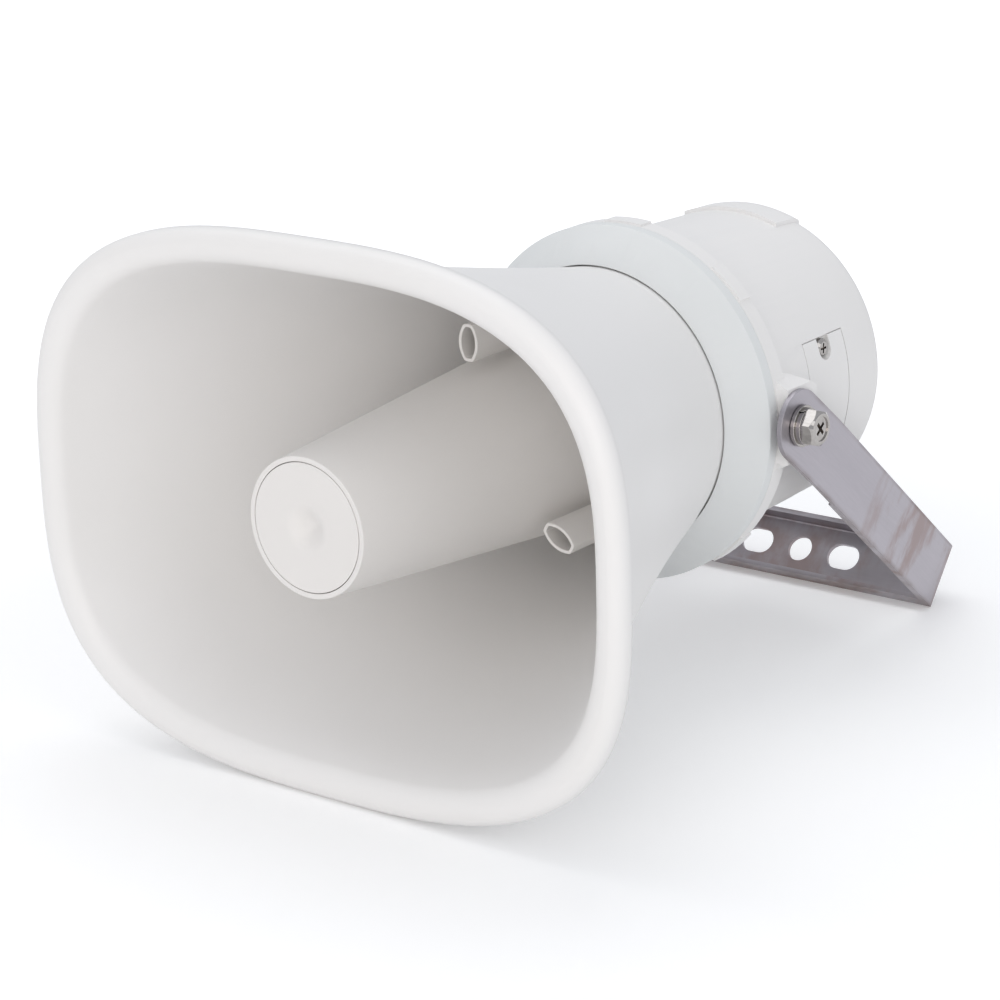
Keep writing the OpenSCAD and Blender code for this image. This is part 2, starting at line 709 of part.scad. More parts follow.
module transformer_frame() {
    t = 1.2;
    half_x = 7;
    half_z = core_h / 2 + 0.1;
    color(plated) on_axis() translate([core_x, 0, 0]) difference() {
        for (s = [-1, 1]) scale([1, 1, s]) {
            block([-half_x, core_front_y - t, half_z], [half_x, core_rear_y + t, half_z + t]);
            block([-half_x, core_rear_y, half_z], [half_x, core_rear_y + t, foot_z + 5]);
            block([-half_x, core_front_y - t, half_z - 4], [half_x, core_front_y - 0.1, half_z + t]);
        }
        for (s = [-1, 1]) translate([0, 0, s * foot_z])
            barrel(small_screw_d / 2 + 0.2, core_rear_y - 2, core_rear_y + t + 1);
    }
}

module transformer_screws() {
    color(plated) on_axis() for (s = [-1, 1]) translate([core_x, core_rear_y, s * foot_z])
        pan_screw(small_screw_d, foot_boss_len - 1);
}

// Terminals behind the side cover, on a shelf of the can
block_x = 30;
block_y = cover_y + cover_len / 2;
module terminal_block() {
    pitch = block_len / terminal_n;
    color([0.1, 0.1, 0.1]) on_axis() difference() {
        block([block_x, block_y - block_w / 2, -block_len / 2],
            [block_x + block_t, block_y + block_w / 2, block_len / 2]);
        for (i = [0:terminal_n - 1]) translate([0, 0, (i - (terminal_n - 1) / 2) * pitch]) {
            cross_pin(2.3, block_x + 4, block_x + block_t + 1, block_y - 2, 0);
            block([block_x + 3, block_y + 2, -1.8], [block_x + 7, block_y + block_w / 2 + 1, 1.8]);
        }
    }
}

module terminal_screws() {
    pitch = block_len / terminal_n;
    color(plated) on_axis() for (i = [0:terminal_n - 1])
        translate([0, 0, (i - (terminal_n - 1) / 2) * pitch]) difference() {
            cross_pin(2.2, block_x + 4, block_x + block_t - 1.5, block_y - 2, 0);
            block([block_x + block_t - 2.6, block_y - 5, -0.4], [block_x + block_t, block_y + 1, 0.4]);
        }
}

// Radius of the can's outer surface at a station behind the flange
function can_r(y) = (can_front_d - can_draft * (y - ring_len) / (can_len - can_edge_r)) / 2;
// The can's outer form, grown by off, as a solid of revolution
module can_form(off) {
    turned(concat(
        [[0, ring_len], [can_r(ring_len) + off, ring_len],
            [can_r(can_end_y - can_edge_r) + off, can_end_y - can_edge_r]],
        [for (t = [75:-15:0]) [
            can_r(can_end_y - can_edge_r) + off - can_edge_r * (1 - sin(t)),
            can_end_y - can_edge_r + can_edge_r * cos(t)]],
        [[0, can_end_y]]));
}

screw_boss_r = 4.2;
pocket_r = screw_pocket_w / 2;
pocket_cut = pocket_r + 1.9;
cover_z = cover_h / 2;
// Box that cuts the side cover's place out of the can, shrunk by inset
module cover_box(inset) {
    block([45, cover_y + inset, -cover_z + inset], [90, cover_y + cover_len - inset, cover_z - inset]);
}

// A slice of the can's skin round the side cover, between two offsets from the outer surface
module can_skin(out_off, in_off) {
    difference() {
        can_cone(out_off, 8);
        can_cone(in_off, 10);
    }
}

// The cone of the can's wall round the side cover, grown by off and longer by extra at each end
module can_cone(off, extra) {
    y0 = cover_y - extra;
    y1 = cover_y + cover_len + extra;
    turned([[0, y0], [can_r(y0) + off, y0], [can_r(y1) + off, y1], [0, y1]]);
}

lug_bottom_x = lug_face_x - insert_len - 1.5;
// One lug: an eight-sided block that narrows towards its face
module lug() {
    z = lug_h / 2;
    y0 = lug_front_y;
    y1 = lug_front_y + lug_len;
    slope_len = lug_len * 0.55;
    slope_h = lug_h / 4;
    intersection() {
        translate([lug_bottom_x, 0, 0]) rotate([90, 0, 90]) linear_extrude(lug_face_x - lug_bottom_x)
            polygon([
                [y0 + 2, -z], [y1 - slope_len, -z], [y1, -z + slope_h], [y1, z - slope_h],
                [y1 - slope_len, z], [y0 + 2, z], [y0, z - 4], [y0, -z + 4]]);
        translate([0, 0, -lug_h]) linear_extrude(2 * lug_h) polygon([
            [lug_bottom_x - 1, y0], [lug_face_x - 5, y0], [lug_face_x, y0 + 1.2],
            [lug_face_x, y1 - 6], [lug_face_x - 7, y1 + 1], [lug_bottom_x - 1, y1 + 1]]);
        translate([0, y1 + 1, 0]) rotate([90, 0, 0]) linear_extrude(lug_len + 2) polygon([
            [lug_bottom_x - 1, -z - 1], [lug_face_x - 8, -z - 1], [lug_face_x, -z + 3],
            [lug_face_x, z - 3], [lug_face_x - 8, z + 1], [lug_bottom_x - 1, z + 1]]);
    }
}

can_flange_end = ring_len + can_flange_t;
flange_r = ring_d / 2;
screw_floor_x = can_front_d / 2 - 7.6;
cover_screw_y = cover_y + cover_len / 2;
pocket_floor_t = 2.2;
cover_boss_x = screw_floor_x - pocket_floor_t - 0.05;
spigot_in_r = 55.5;
module can_body() {
    difference() {
        union() {
            can_form(0);
            turned([
                [0, base_rear_y], [base_r, base_rear_y], [base_r, ring_len], [flange_r, ring_len],
                [flange_r, can_flange_end], [can_r(can_flange_end) + 1.5, can_flange_end + 0.8],
                [can_r(can_flange_end) - 0.5, can_flange_end + 4], [0, can_flange_end + 4]]);
            for (half = [0, 180], a = [-tab_angle, 0, tab_angle]) rotate([0, half + a, 0]) intersection() {
                barrel(flange_r + tab_h, ring_len + 0.5, can_flange_end);
                block([-tab_w / 2, 0, 20], [tab_w / 2, can_end_y, 2 * flange_r]);
            }
            for (s = [0, 180]) rotate([0, s, 0]) intersection() {
                can_form(pad_h);
                translate([0, can_end_y - pad_len, 0]) rotate([-90, 0, 0]) linear_extrude(pad_len - 3)
                    polygon([
                        [-pad_w / 2, -2 * flange_r], [pad_w / 2, -2 * flange_r],
                        [pad_w / 2 - 6, -20], [-pad_w / 2 + 6, -20]]);
            }
            lug();
            mirror([1, 0, 0]) lug();
        }
        barrel(spigot_in_r, base_rear_y - 1, ring_len + 2);
        turned([
            [0, ring_len + 1], [can_r(ring_len) - can_wall, ring_len + 1],
            [can_r(can_end_y - can_edge_r) - can_wall, can_end_y - can_edge_r],
            [can_r(can_end_y - can_edge_r) - can_wall - 4, can_floor_y], [0, can_floor_y]]);
    }
}

// Ribs, bosses and thicker walls inside the can
module can_inside() {
    reach = can_r(ring_len) - can_wall + 1;
    around(post_n) {
        translate([0, 0, post_pitch_r]) barrel(screw_boss_r, base_rear_y, base_rear_y + screw_boss_len);
        block([-1.5, ring_len + 1, post_pitch_r + screw_boss_r - 1],
            [1.5, base_rear_y + screw_boss_len, reach]);
        block([-1.5, base_rear_y, post_pitch_r + screw_boss_r - 1], [1.5, ring_len + 2, spigot_in_r + 1]);
    }
    for (s = [-1, 1]) translate([core_x, 0, s * foot_z])
        barrel(4, can_floor_y - foot_boss_len, can_floor_y + 1);
    intersection() {
        can_skin(-can_wall + 0.5, -7);
        block([30, cover_y - 3, -cover_z - 3], [90, cover_y + cover_len + 3, cover_z + 3]);
    }
    block([block_x - 3, block_y - block_w / 2 - 1, -block_len / 2],
        [block_x, can_floor_y + 1, block_len / 2]);
    for (s = [-1, 1]) translate([0, 0, s * block_len / 4])
        block([block_x - 9, block_y + block_w / 2, -1.2], [block_x, can_floor_y + 1, 1.2]);
    for (s = [-1, 1]) scale([s, 1, 1]) intersection() {
        block([lug_bottom_x, lug_front_y + 1, -insert_d / 2 - 3],
            [lug_face_x - 6, pivot_y + insert_d / 2 + 3, insert_d / 2 + 3]);
        can_form(0);
    }
    cross_pin(4, cover_boss_x - 9, cover_boss_x, cover_screw_y, cover_screw_z);
    block([cover_boss_x - 9, cover_screw_y - 4, cover_screw_z],
        [cover_boss_x, cover_screw_y + 4, cover_z + 2]);
}

module rear_can() {
    color(shell_white) on_axis() difference() {
        union() {
            can_body();
            can_inside();
        }
        difference() {
            cover_box(-cover_gap);
            can_cone(-cover_t - cover_gasket_t, 10);
        }
        difference() {
            cover_box(cover_ledge);
            cross_pin(4, 30, cover_boss_x, cover_screw_y, cover_screw_z);
            block([30, cover_screw_y - 4, cover_screw_z], [cover_boss_x, cover_screw_y + 4, 60]);
        }
        block([cover_boss_x, cover_screw_y - pocket_cut, cover_screw_z - pocket_cut],
            [90, cover_screw_y + pocket_cut, cover_z + cover_gap]);
        cross_pin(cover_screw_d / 2 + slide_fit, cover_boss_x - 8, 90, cover_screw_y, cover_screw_z);
        for (s = [-1, 1]) scale([s, 1, 1]) {
            cross_pin(insert_d / 2 + 0.02, lug_face_x - insert_len, lug_face_x + 1, pivot_y, 0);
            cross_pin(bolt_d / 2 + 0.3, lug_bottom_x - 3, lug_face_x, pivot_y, 0);
        }
        around(post_n) translate([0, 0, post_pitch_r])
            barrel(post_screw_d / 2 + slide_fit, base_rear_y - 1, base_rear_y + screw_boss_len - 1.5);
        for (s = [-1, 1]) translate([core_x, 0, s * foot_z])
            barrel(small_screw_d / 2 + slide_fit, can_floor_y - foot_boss_len - 1, can_floor_y);
        translate([0, 0, -gland_drop]) barrel(gland_d / 2 + 0.2, can_floor_y - 2, can_end_y + 1);
    }
}

// The solid that holds the cover's screw pocket, open at the cover's top edge
module pocket_form(grow, x0, x1) {
    cross_pin(pocket_r + grow, x0, x1, cover_screw_y, cover_screw_z);
    block([x0, cover_screw_y - pocket_r - grow, cover_screw_z],
        [x1, cover_screw_y + pocket_r + grow, cover_z]);
}

module side_cover() {
    color(shell_white) on_axis() difference() {
        union() {
            intersection() {
                can_skin(0, -cover_t);
                cover_box(0);
            }
            intersection() {
                pocket_form(1.5, screw_floor_x - pocket_floor_t, 80);
                can_cone(0, 8);
                cover_box(0);
            }
        }
        pocket_form(0, screw_floor_x, 90);
        cross_pin(cover_screw_d / 2 + 0.25, 40, 90, cover_screw_y, cover_screw_z);
    }
}

module cover_gasket() {
    color(rubber) on_axis() intersection() {
        can_skin(-cover_t, -cover_t - cover_gasket_t);
        difference() {
            cover_box(0.2);
            cover_box(cover_ledge - 0.4);
            block([40, cover_screw_y - pocket_r - 2, 0], [90, cover_screw_y + pocket_r + 2, 60]);
        }
    }
}

module cover_screw() {
    color(plated) on_axis() translate([screw_floor_x, cover_screw_y, cover_screw_z]) rotate([0, 0, 90])
        pan_screw(cover_screw_d, 9);
}

// Cable gland in the can's rear wall
module gland_axis() {
    on_axis() translate([0, 0, -gland_drop]) children();
}

module hex_prism(af, y0, y1) {
    translate([0, y0, 0]) rotate([-90, 0, 0]) rotate(30) cylinder(d = af / cos(30), h = y1 - y0, $fn = 6);
}

gland_in_y = can_floor_y - 4;
gland_out_y = can_end_y + 5;
gland_tip_y = gland_out_y + 9;
module gland_body() {
    color([0.2, 0.2, 0.2]) gland_axis() difference() {
        union() {
            barrel(gland_d / 2, gland_in_y, gland_out_y);
            hex_prism(gland_af, can_end_y, gland_out_y - 1);
        }
        barrel(cable_bore_d / 2 + 2, gland_in_y - 1, gland_out_y - 5);
        barrel(gland_d / 2 - 2, gland_out_y - 5, gland_out_y + 1);
    }
}

module gland_seal() {
    color(rubber) gland_axis() difference() {
        union() {
            barrel(gland_d / 2 - 2.2, gland_out_y - 4.9, gland_out_y + 1);
            barrel(gland_d / 2 - 1, gland_out_y + 0.05, gland_out_y + 4);
        }
        barrel(cable_bore_d / 2, gland_out_y - 6, gland_out_y + 5);
    }
}

// The outer dome nut and the inner lock nut
module gland_nut() {
    color([0.2, 0.2, 0.2]) gland_axis() {
        difference() {
            union() {
                hex_prism(gland_af, gland_out_y + 0.05, gland_out_y + 5);
                turned([
                    [0, gland_out_y + 4.9], [gland_af / 2, gland_out_y + 4.9],
                    [gland_af / 2 - 0.6, gland_out_y + 7],
                    [cable_bore_d / 2 + 2.5, gland_tip_y], [0, gland_tip_y]]);
            }
            barrel(gland_d / 2 - 0.9, gland_out_y - 1, gland_out_y + 4.1);
            barrel(cable_bore_d / 2 + 0.6, gland_out_y, gland_tip_y + 1);
        }
        difference() {
            hex_prism(gland_af, gland_in_y + 0.5, can_floor_y);
            barrel(gland_d / 2 + 0.02, gland_in_y - 1, can_floor_y + 1);
        }
    }
}

// Places a piece of the right-hand pivot, or its mirror image
module at_pivot(side) {
    on_axis() translate([0, pivot_y, 0]) scale([side, 1, 1]) children();
}

module insert(side) {
    color(brass) at_pivot(side) difference() {
        cross_pin(insert_d / 2, lug_face_x - insert_len, lug_face_x, 0, 0);
        cross_pin(bolt_d / 2 + slide_fit, lug_face_x - insert_len - 1, lug_face_x + 1, 0, 0);
    }
}

module bolt(side) {
    color(chrome) at_pivot(side) difference() {
        union() {
            cross_pin(bolt_d / 2, lug_face_x - bolt_bite, head_x + eps, 0, 0);
            translate([head_x, 0, 0]) rotate([0, 90, 0]) intersection() {
                rotate(12) cylinder(d = bolt_af / cos(30), h = bolt_head_t, $fn = 6);
                rotate_extrude() polygon([
                    [0, 0], [bolt_af * 0.53, 0], [bolt_af * 0.58, 0.6],
                    [bolt_af * 0.58, bolt_head_t - 1.4], [bolt_af * 0.45, bolt_head_t],
                    [0, bolt_head_t]]);
            }
        }
        cross_pin(bolt_af * 0.36, head_x + bolt_head_t - 0.5, head_x + bolt_head_t + 1, 0, 0);
        for (turn = [40, 130]) rotate([turn, 0, 0])
            block([head_x + bolt_head_t - 2.6, -0.7, -2.9], [head_x + bolt_head_t + 1, 0.7, 2.9]);
    }
}

module spring_washer(side) {
    color(chrome) at_pivot(side) difference() {
        cross_pin(spring_washer_d / 2, spring_x, head_x, 0, 0);
        cross_pin(bolt_d / 2 + 0.2, spring_x - 1, head_x + 1, 0, 0);
        rotate([25, 0, 0]) translate([spring_x + spring_washer_t / 2, 0, spring_washer_d / 2 - 2])
            rotate([0, 0, 30]) cube([8, 0.8, 6], center = true);
    }
}

module flat_washer(side) {
    color(chrome) at_pivot(side) difference() {
        cross_pin(washer_d / 2, washer_x, spring_x, 0, 0);
        cross_pin(bolt_d / 2 + 0.2, washer_x - 1, spring_x + 1, 0, 0);
    }
}

// Outline of the U in the plane across the strip, shrunk on all sides: upright past the lugs,
// then leaning inwards to the foot's bend of radius bend_r
bend_x = foot_x - bend_r;
bend_a = bracket_len - bend_r;
knee_a = 25;
knee_x = arm_out_x - bend_x;
lean = acos(bend_r / norm([knee_x, bend_a - knee_a])) - atan2(bend_a - knee_a, knee_x);
module u_outline(shrink) {
    r = bend_r - shrink;
    x = arm_out_x - shrink;
    knee = bend_a - (cos(lean) * (x - bend_x) - r) / sin(lean);
    for (s = [-1, 1]) scale([s, 1]) {
        polygon([[-eps, -strip_w], [x, -strip_w], [x, knee],
            [bend_x + r * cos(lean), bend_a + r * sin(lean)], [bend_x, bend_a], [bend_x, bend_a + r],
            [-eps, bend_a + r]]);
        translate([bend_x, bend_a]) circle(r = r);
    }
}

// Section of the foot: a shallow channel with two rounded edges
module foot_section(r, shrink, h) {
    b = strip_w / 2 - shrink;
    a = bracket_len - shrink;
    translate([bracket_len - h, -b]) square([h - shrink - r, 2 * b]);
    translate([a - r - eps, -b + r]) square([r + eps, 2 * (b - r)]);
    for (s = [-1, 1]) translate([a - r, s * (b - r)]) circle(r = r);
}

module u_bracket() {
    side_in = foot_x - sheet_t - 0.5;
    color(steel) on_axis() translate([0, pivot_y, 0]) rotate([-bracket_tilt, 0, 0]) difference() {
        union() {
            intersection() {
                translate([0, 0, -strip_w / 2]) linear_extrude(strip_w) difference() {
                    u_outline(0);
                    u_outline(sheet_t);
                }
                translate([-100, 0, 0]) rotate([90, 0, 90]) linear_extrude(200) union() {
                    circle(d = strip_w);
                    translate([0, -strip_w / 2]) square([foot_reach, strip_w]);
                    translate([bracket_len / 2, -strip_w / 2 + foot_bend_r])
                        square([bracket_len / 2, strip_w - 2 * foot_bend_r]);
                    for (s = [-1, 1]) translate([foot_reach, s * foot_half]) circle(r = foot_bend_r);
                }
            }
            for (s = [-1, 1]) intersection() {
                translate([0, 0, s * (strip_w - sheet_t) / 2]) linear_extrude(sheet_t, center = true)
                    difference() {
                        u_outline(0);
                        u_outline(rim_h);
                    }
                block([-arm_out_x, rim_start, -strip_w], [arm_out_x, foot_reach, strip_w]);
            }
            translate([-side_in, 0, 0]) rotate([90, 0, 90]) linear_extrude(2 * side_in) difference() {
                foot_section(foot_bend_r, 0, foot_flange_h);
                foot_section(foot_bend_r - sheet_t, sheet_t, foot_flange_h + 1);
            }
        }
        translate([0, bracket_len - sheet_t - 1, 0]) rotate([-90, 0, 0]) linear_extrude(sheet_t + 2) {
            circle(d = foot_hole_d);
            for (s = [-1, 1]) translate([s * slot_pitch, 0]) {
                square([slot_len - foot_hole_d, foot_hole_d], center = true);
                for (e = [-1, 1]) translate([e * (slot_len - foot_hole_d) / 2, 0]) circle(d = foot_hole_d);
            }
        }
        cross_pin(bolt_d / 2 + 0.06, -100, 100, 0, 0);
    }
}

flare();
neck_gasket();
clamp_ring();
horn_base();
base_screws();
reflector_tube();
reflector_cap();
tone_arm();
driver_screws();
throat_plate();
phase_plug();
diaphragm();
voice_coil();
edge_suspension();
top_plate();
magnet_ring();
pole_yoke();
transformer_core();
transformer_winding();
transformer_frame();
transformer_screws();
terminal_block();
terminal_screws();
rear_can();
side_cover();
cover_gasket();
cover_screw();
gland_body();
gland_nut();
gland_seal();
insert(-1);  // insert_left
insert(1);  // insert_right
bolt(-1);  // bolt_left
bolt(1);  // bolt_right
spring_washer(-1);  // spring_washer_left
spring_washer(1);  // spring_washer_right
flat_washer(-1);  // flat_washer_left
flat_washer(1);  // flat_washer_right
u_bracket();
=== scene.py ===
"""Looks of a paging horn: moulded flare, driver can and tarnished steel bracket on its CAD frame."""
import logging
import math
from dataclasses import dataclass
from enum import Enum
from typing import Dict, List, Sequence, Tuple

import bmesh
import bpy
from mathutils import Matrix, Vector


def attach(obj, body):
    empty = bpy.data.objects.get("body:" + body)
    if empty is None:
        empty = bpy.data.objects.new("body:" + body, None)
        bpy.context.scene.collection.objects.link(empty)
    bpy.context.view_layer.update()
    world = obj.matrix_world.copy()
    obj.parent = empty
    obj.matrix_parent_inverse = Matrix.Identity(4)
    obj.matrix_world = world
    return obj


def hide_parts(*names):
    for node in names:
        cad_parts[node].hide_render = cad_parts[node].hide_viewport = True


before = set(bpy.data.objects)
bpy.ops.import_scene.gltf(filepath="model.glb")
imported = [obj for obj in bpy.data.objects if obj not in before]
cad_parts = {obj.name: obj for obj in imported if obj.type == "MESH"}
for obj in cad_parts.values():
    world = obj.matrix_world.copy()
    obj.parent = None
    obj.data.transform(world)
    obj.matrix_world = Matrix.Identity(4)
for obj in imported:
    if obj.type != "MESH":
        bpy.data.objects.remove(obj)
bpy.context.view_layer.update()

Colour = Tuple[float, float, float]
Span = Tuple[float, float]
Row = Tuple[float, float, float]

MM = 0.001
WHITE: Colour = (1.0, 1.0, 1.0)
# Where the tone noise of a metal starts and ends to show
TONE_RANGE: Span = (0.3, 0.7)
# Length of one band of the Wave Texture at a scale of 1
BAND_LENGTH = 0.314

logging.basicConfig(level=logging.INFO, format="%(message)s")
LOG = logging.getLogger("paging_horn")


class Slot(str, Enum):
    """Material slots of the record."""

    SHELL = "shell_plastic"
    RING = "ring_plastic"
    INNER = "inner_plastic"
    BRACKET = "bracket_steel"
    BOLT = "bolt_steel"
    PLATED = "plated_steel"
    RUBBER = "black_rubber"
    BLACK = "black_plastic"
    BRASS = "insert_brass"
    FERRITE = "ferrite"
    DIE_CAST = "die_cast"
    LAMINATION = "lamination_steel"
    COPPER = "copper_wire"
    FILM = "film"


class Body(str, Enum):
    """Rigid bodies of the frame that carry shown pieces."""

    BRACKET = "bracket"
    HORN = "horn"


# Shader groups


def new_group(
    name: str, inputs: Sequence[Tuple[str, str, object]], outputs: Sequence[Tuple[str, str]]
) -> Tuple[bpy.types.NodeTree, bpy.types.Node, bpy.types.Node]:
    """Starts a shader node group.

    Args:
        name: Name of the group.
        inputs: Name, socket type and default of each input.
        outputs: Name and socket type of each output.

    Returns:
        The group with its input and output nodes.
    """
    tree = bpy.data.node_groups.new(name, "ShaderNodeTree")
    for label, kind, value in inputs:
        socket = tree.interface.new_socket(label, in_out="INPUT", socket_type=kind)
        if value is not None:
            socket.default_value = value
    for label, kind in outputs:
        tree.interface.new_socket(label, in_out="OUTPUT", socket_type=kind)
    return tree, tree.nodes.new("NodeGroupInput"), tree.nodes.new("NodeGroupOutput")


def math_node(
    tree: bpy.types.NodeTree, operation: str, a: object, b: object = None, clamp: bool = False
) -> bpy.types.NodeSocket:
    """Adds a Math node.

    Args:
        tree: Node tree that gets the node.
        operation: Blender's name of the operation.
        a: First operand, a socket or a number.
        b: Second operand, a socket, a number or None.
        clamp: Whether the result is kept between 0 and 1.

    Returns:
        The node's output socket.
    """
    node = tree.nodes.new("ShaderNodeMath")
    node.operation = operation
    node.use_clamp = clamp
    for index, value in enumerate((a, b)):
        if isinstance(value, bpy.types.NodeSocket):
            tree.links.new(value, node.inputs[index])
        elif value is not None:
            node.inputs[index].default_value = value
    return node.outputs[0]


def noise_node(
    tree: bpy.types.NodeTree, vector: bpy.types.NodeSocket, scale: object, detail: float,
    rough: float = 0.5
) -> bpy.types.NodeSocket:
    """Adds a Noise Texture and returns its Fac socket.

    Args:
        tree: Node tree that gets the node.
        vector: Coordinates that it reads.
        scale: Its scale, a socket or a number.
        detail: Its number of octaves.
        rough: How strong the small octaves are.

    Returns:
        The noise value between 0 and 1.
    """
    node = tree.nodes.new("ShaderNodeTexNoise")
    node.inputs["Detail"].default_value = detail
    node.inputs["Roughness"].default_value = rough
    tree.links.new(vector, node.inputs["Vector"])
    if isinstance(scale, bpy.types.NodeSocket):
        tree.links.new(scale, node.inputs["Scale"])
    else:
        node.inputs["Scale"].default_value = scale
    return node.outputs["Fac"]


def ramp_range(
    tree: bpy.types.NodeTree, value: bpy.types.NodeSocket, low: float, high: float
) -> bpy.types.NodeSocket:
    """Adds a smooth step from low to high.

    Args:
        tree: Node tree that gets the node.
        value: The value that is stepped.
        low: Where the step starts, giving 0.
        high: Where it ends, giving 1.

    Returns:
        The stepped value.
    """
    node = tree.nodes.new("ShaderNodeMapRange")
    node.interpolation_type = "SMOOTHSTEP"
    node.inputs["From Min"].default_value = low
    node.inputs["From Max"].default_value = high
    tree.links.new(value, node.inputs["Value"])
    return node.outputs["Result"]


def mix_colour(
    tree: bpy.types.NodeTree, factor: bpy.types.NodeSocket, a: object, b: object
) -> bpy.types.NodeSocket:
    """Adds a colour Mix node.

    Args:
        tree: Node tree that gets the node.
        factor: How much of b shows.
        a: First colour, a socket or a colour.
        b: Second colour, a socket or a colour.

    Returns:
        The mixed colour.
    """
    node = tree.nodes.new("ShaderNodeMix")
    node.data_type = "RGBA"
    tree.links.new(factor, node.inputs[0])
    for index, value in ((6, a), (7, b)):
        if isinstance(value, bpy.types.NodeSocket):
            tree.links.new(value, node.inputs[index])
        else:
            node.inputs[index].default_value = (*value, 1.0)
    return node.outputs[2]


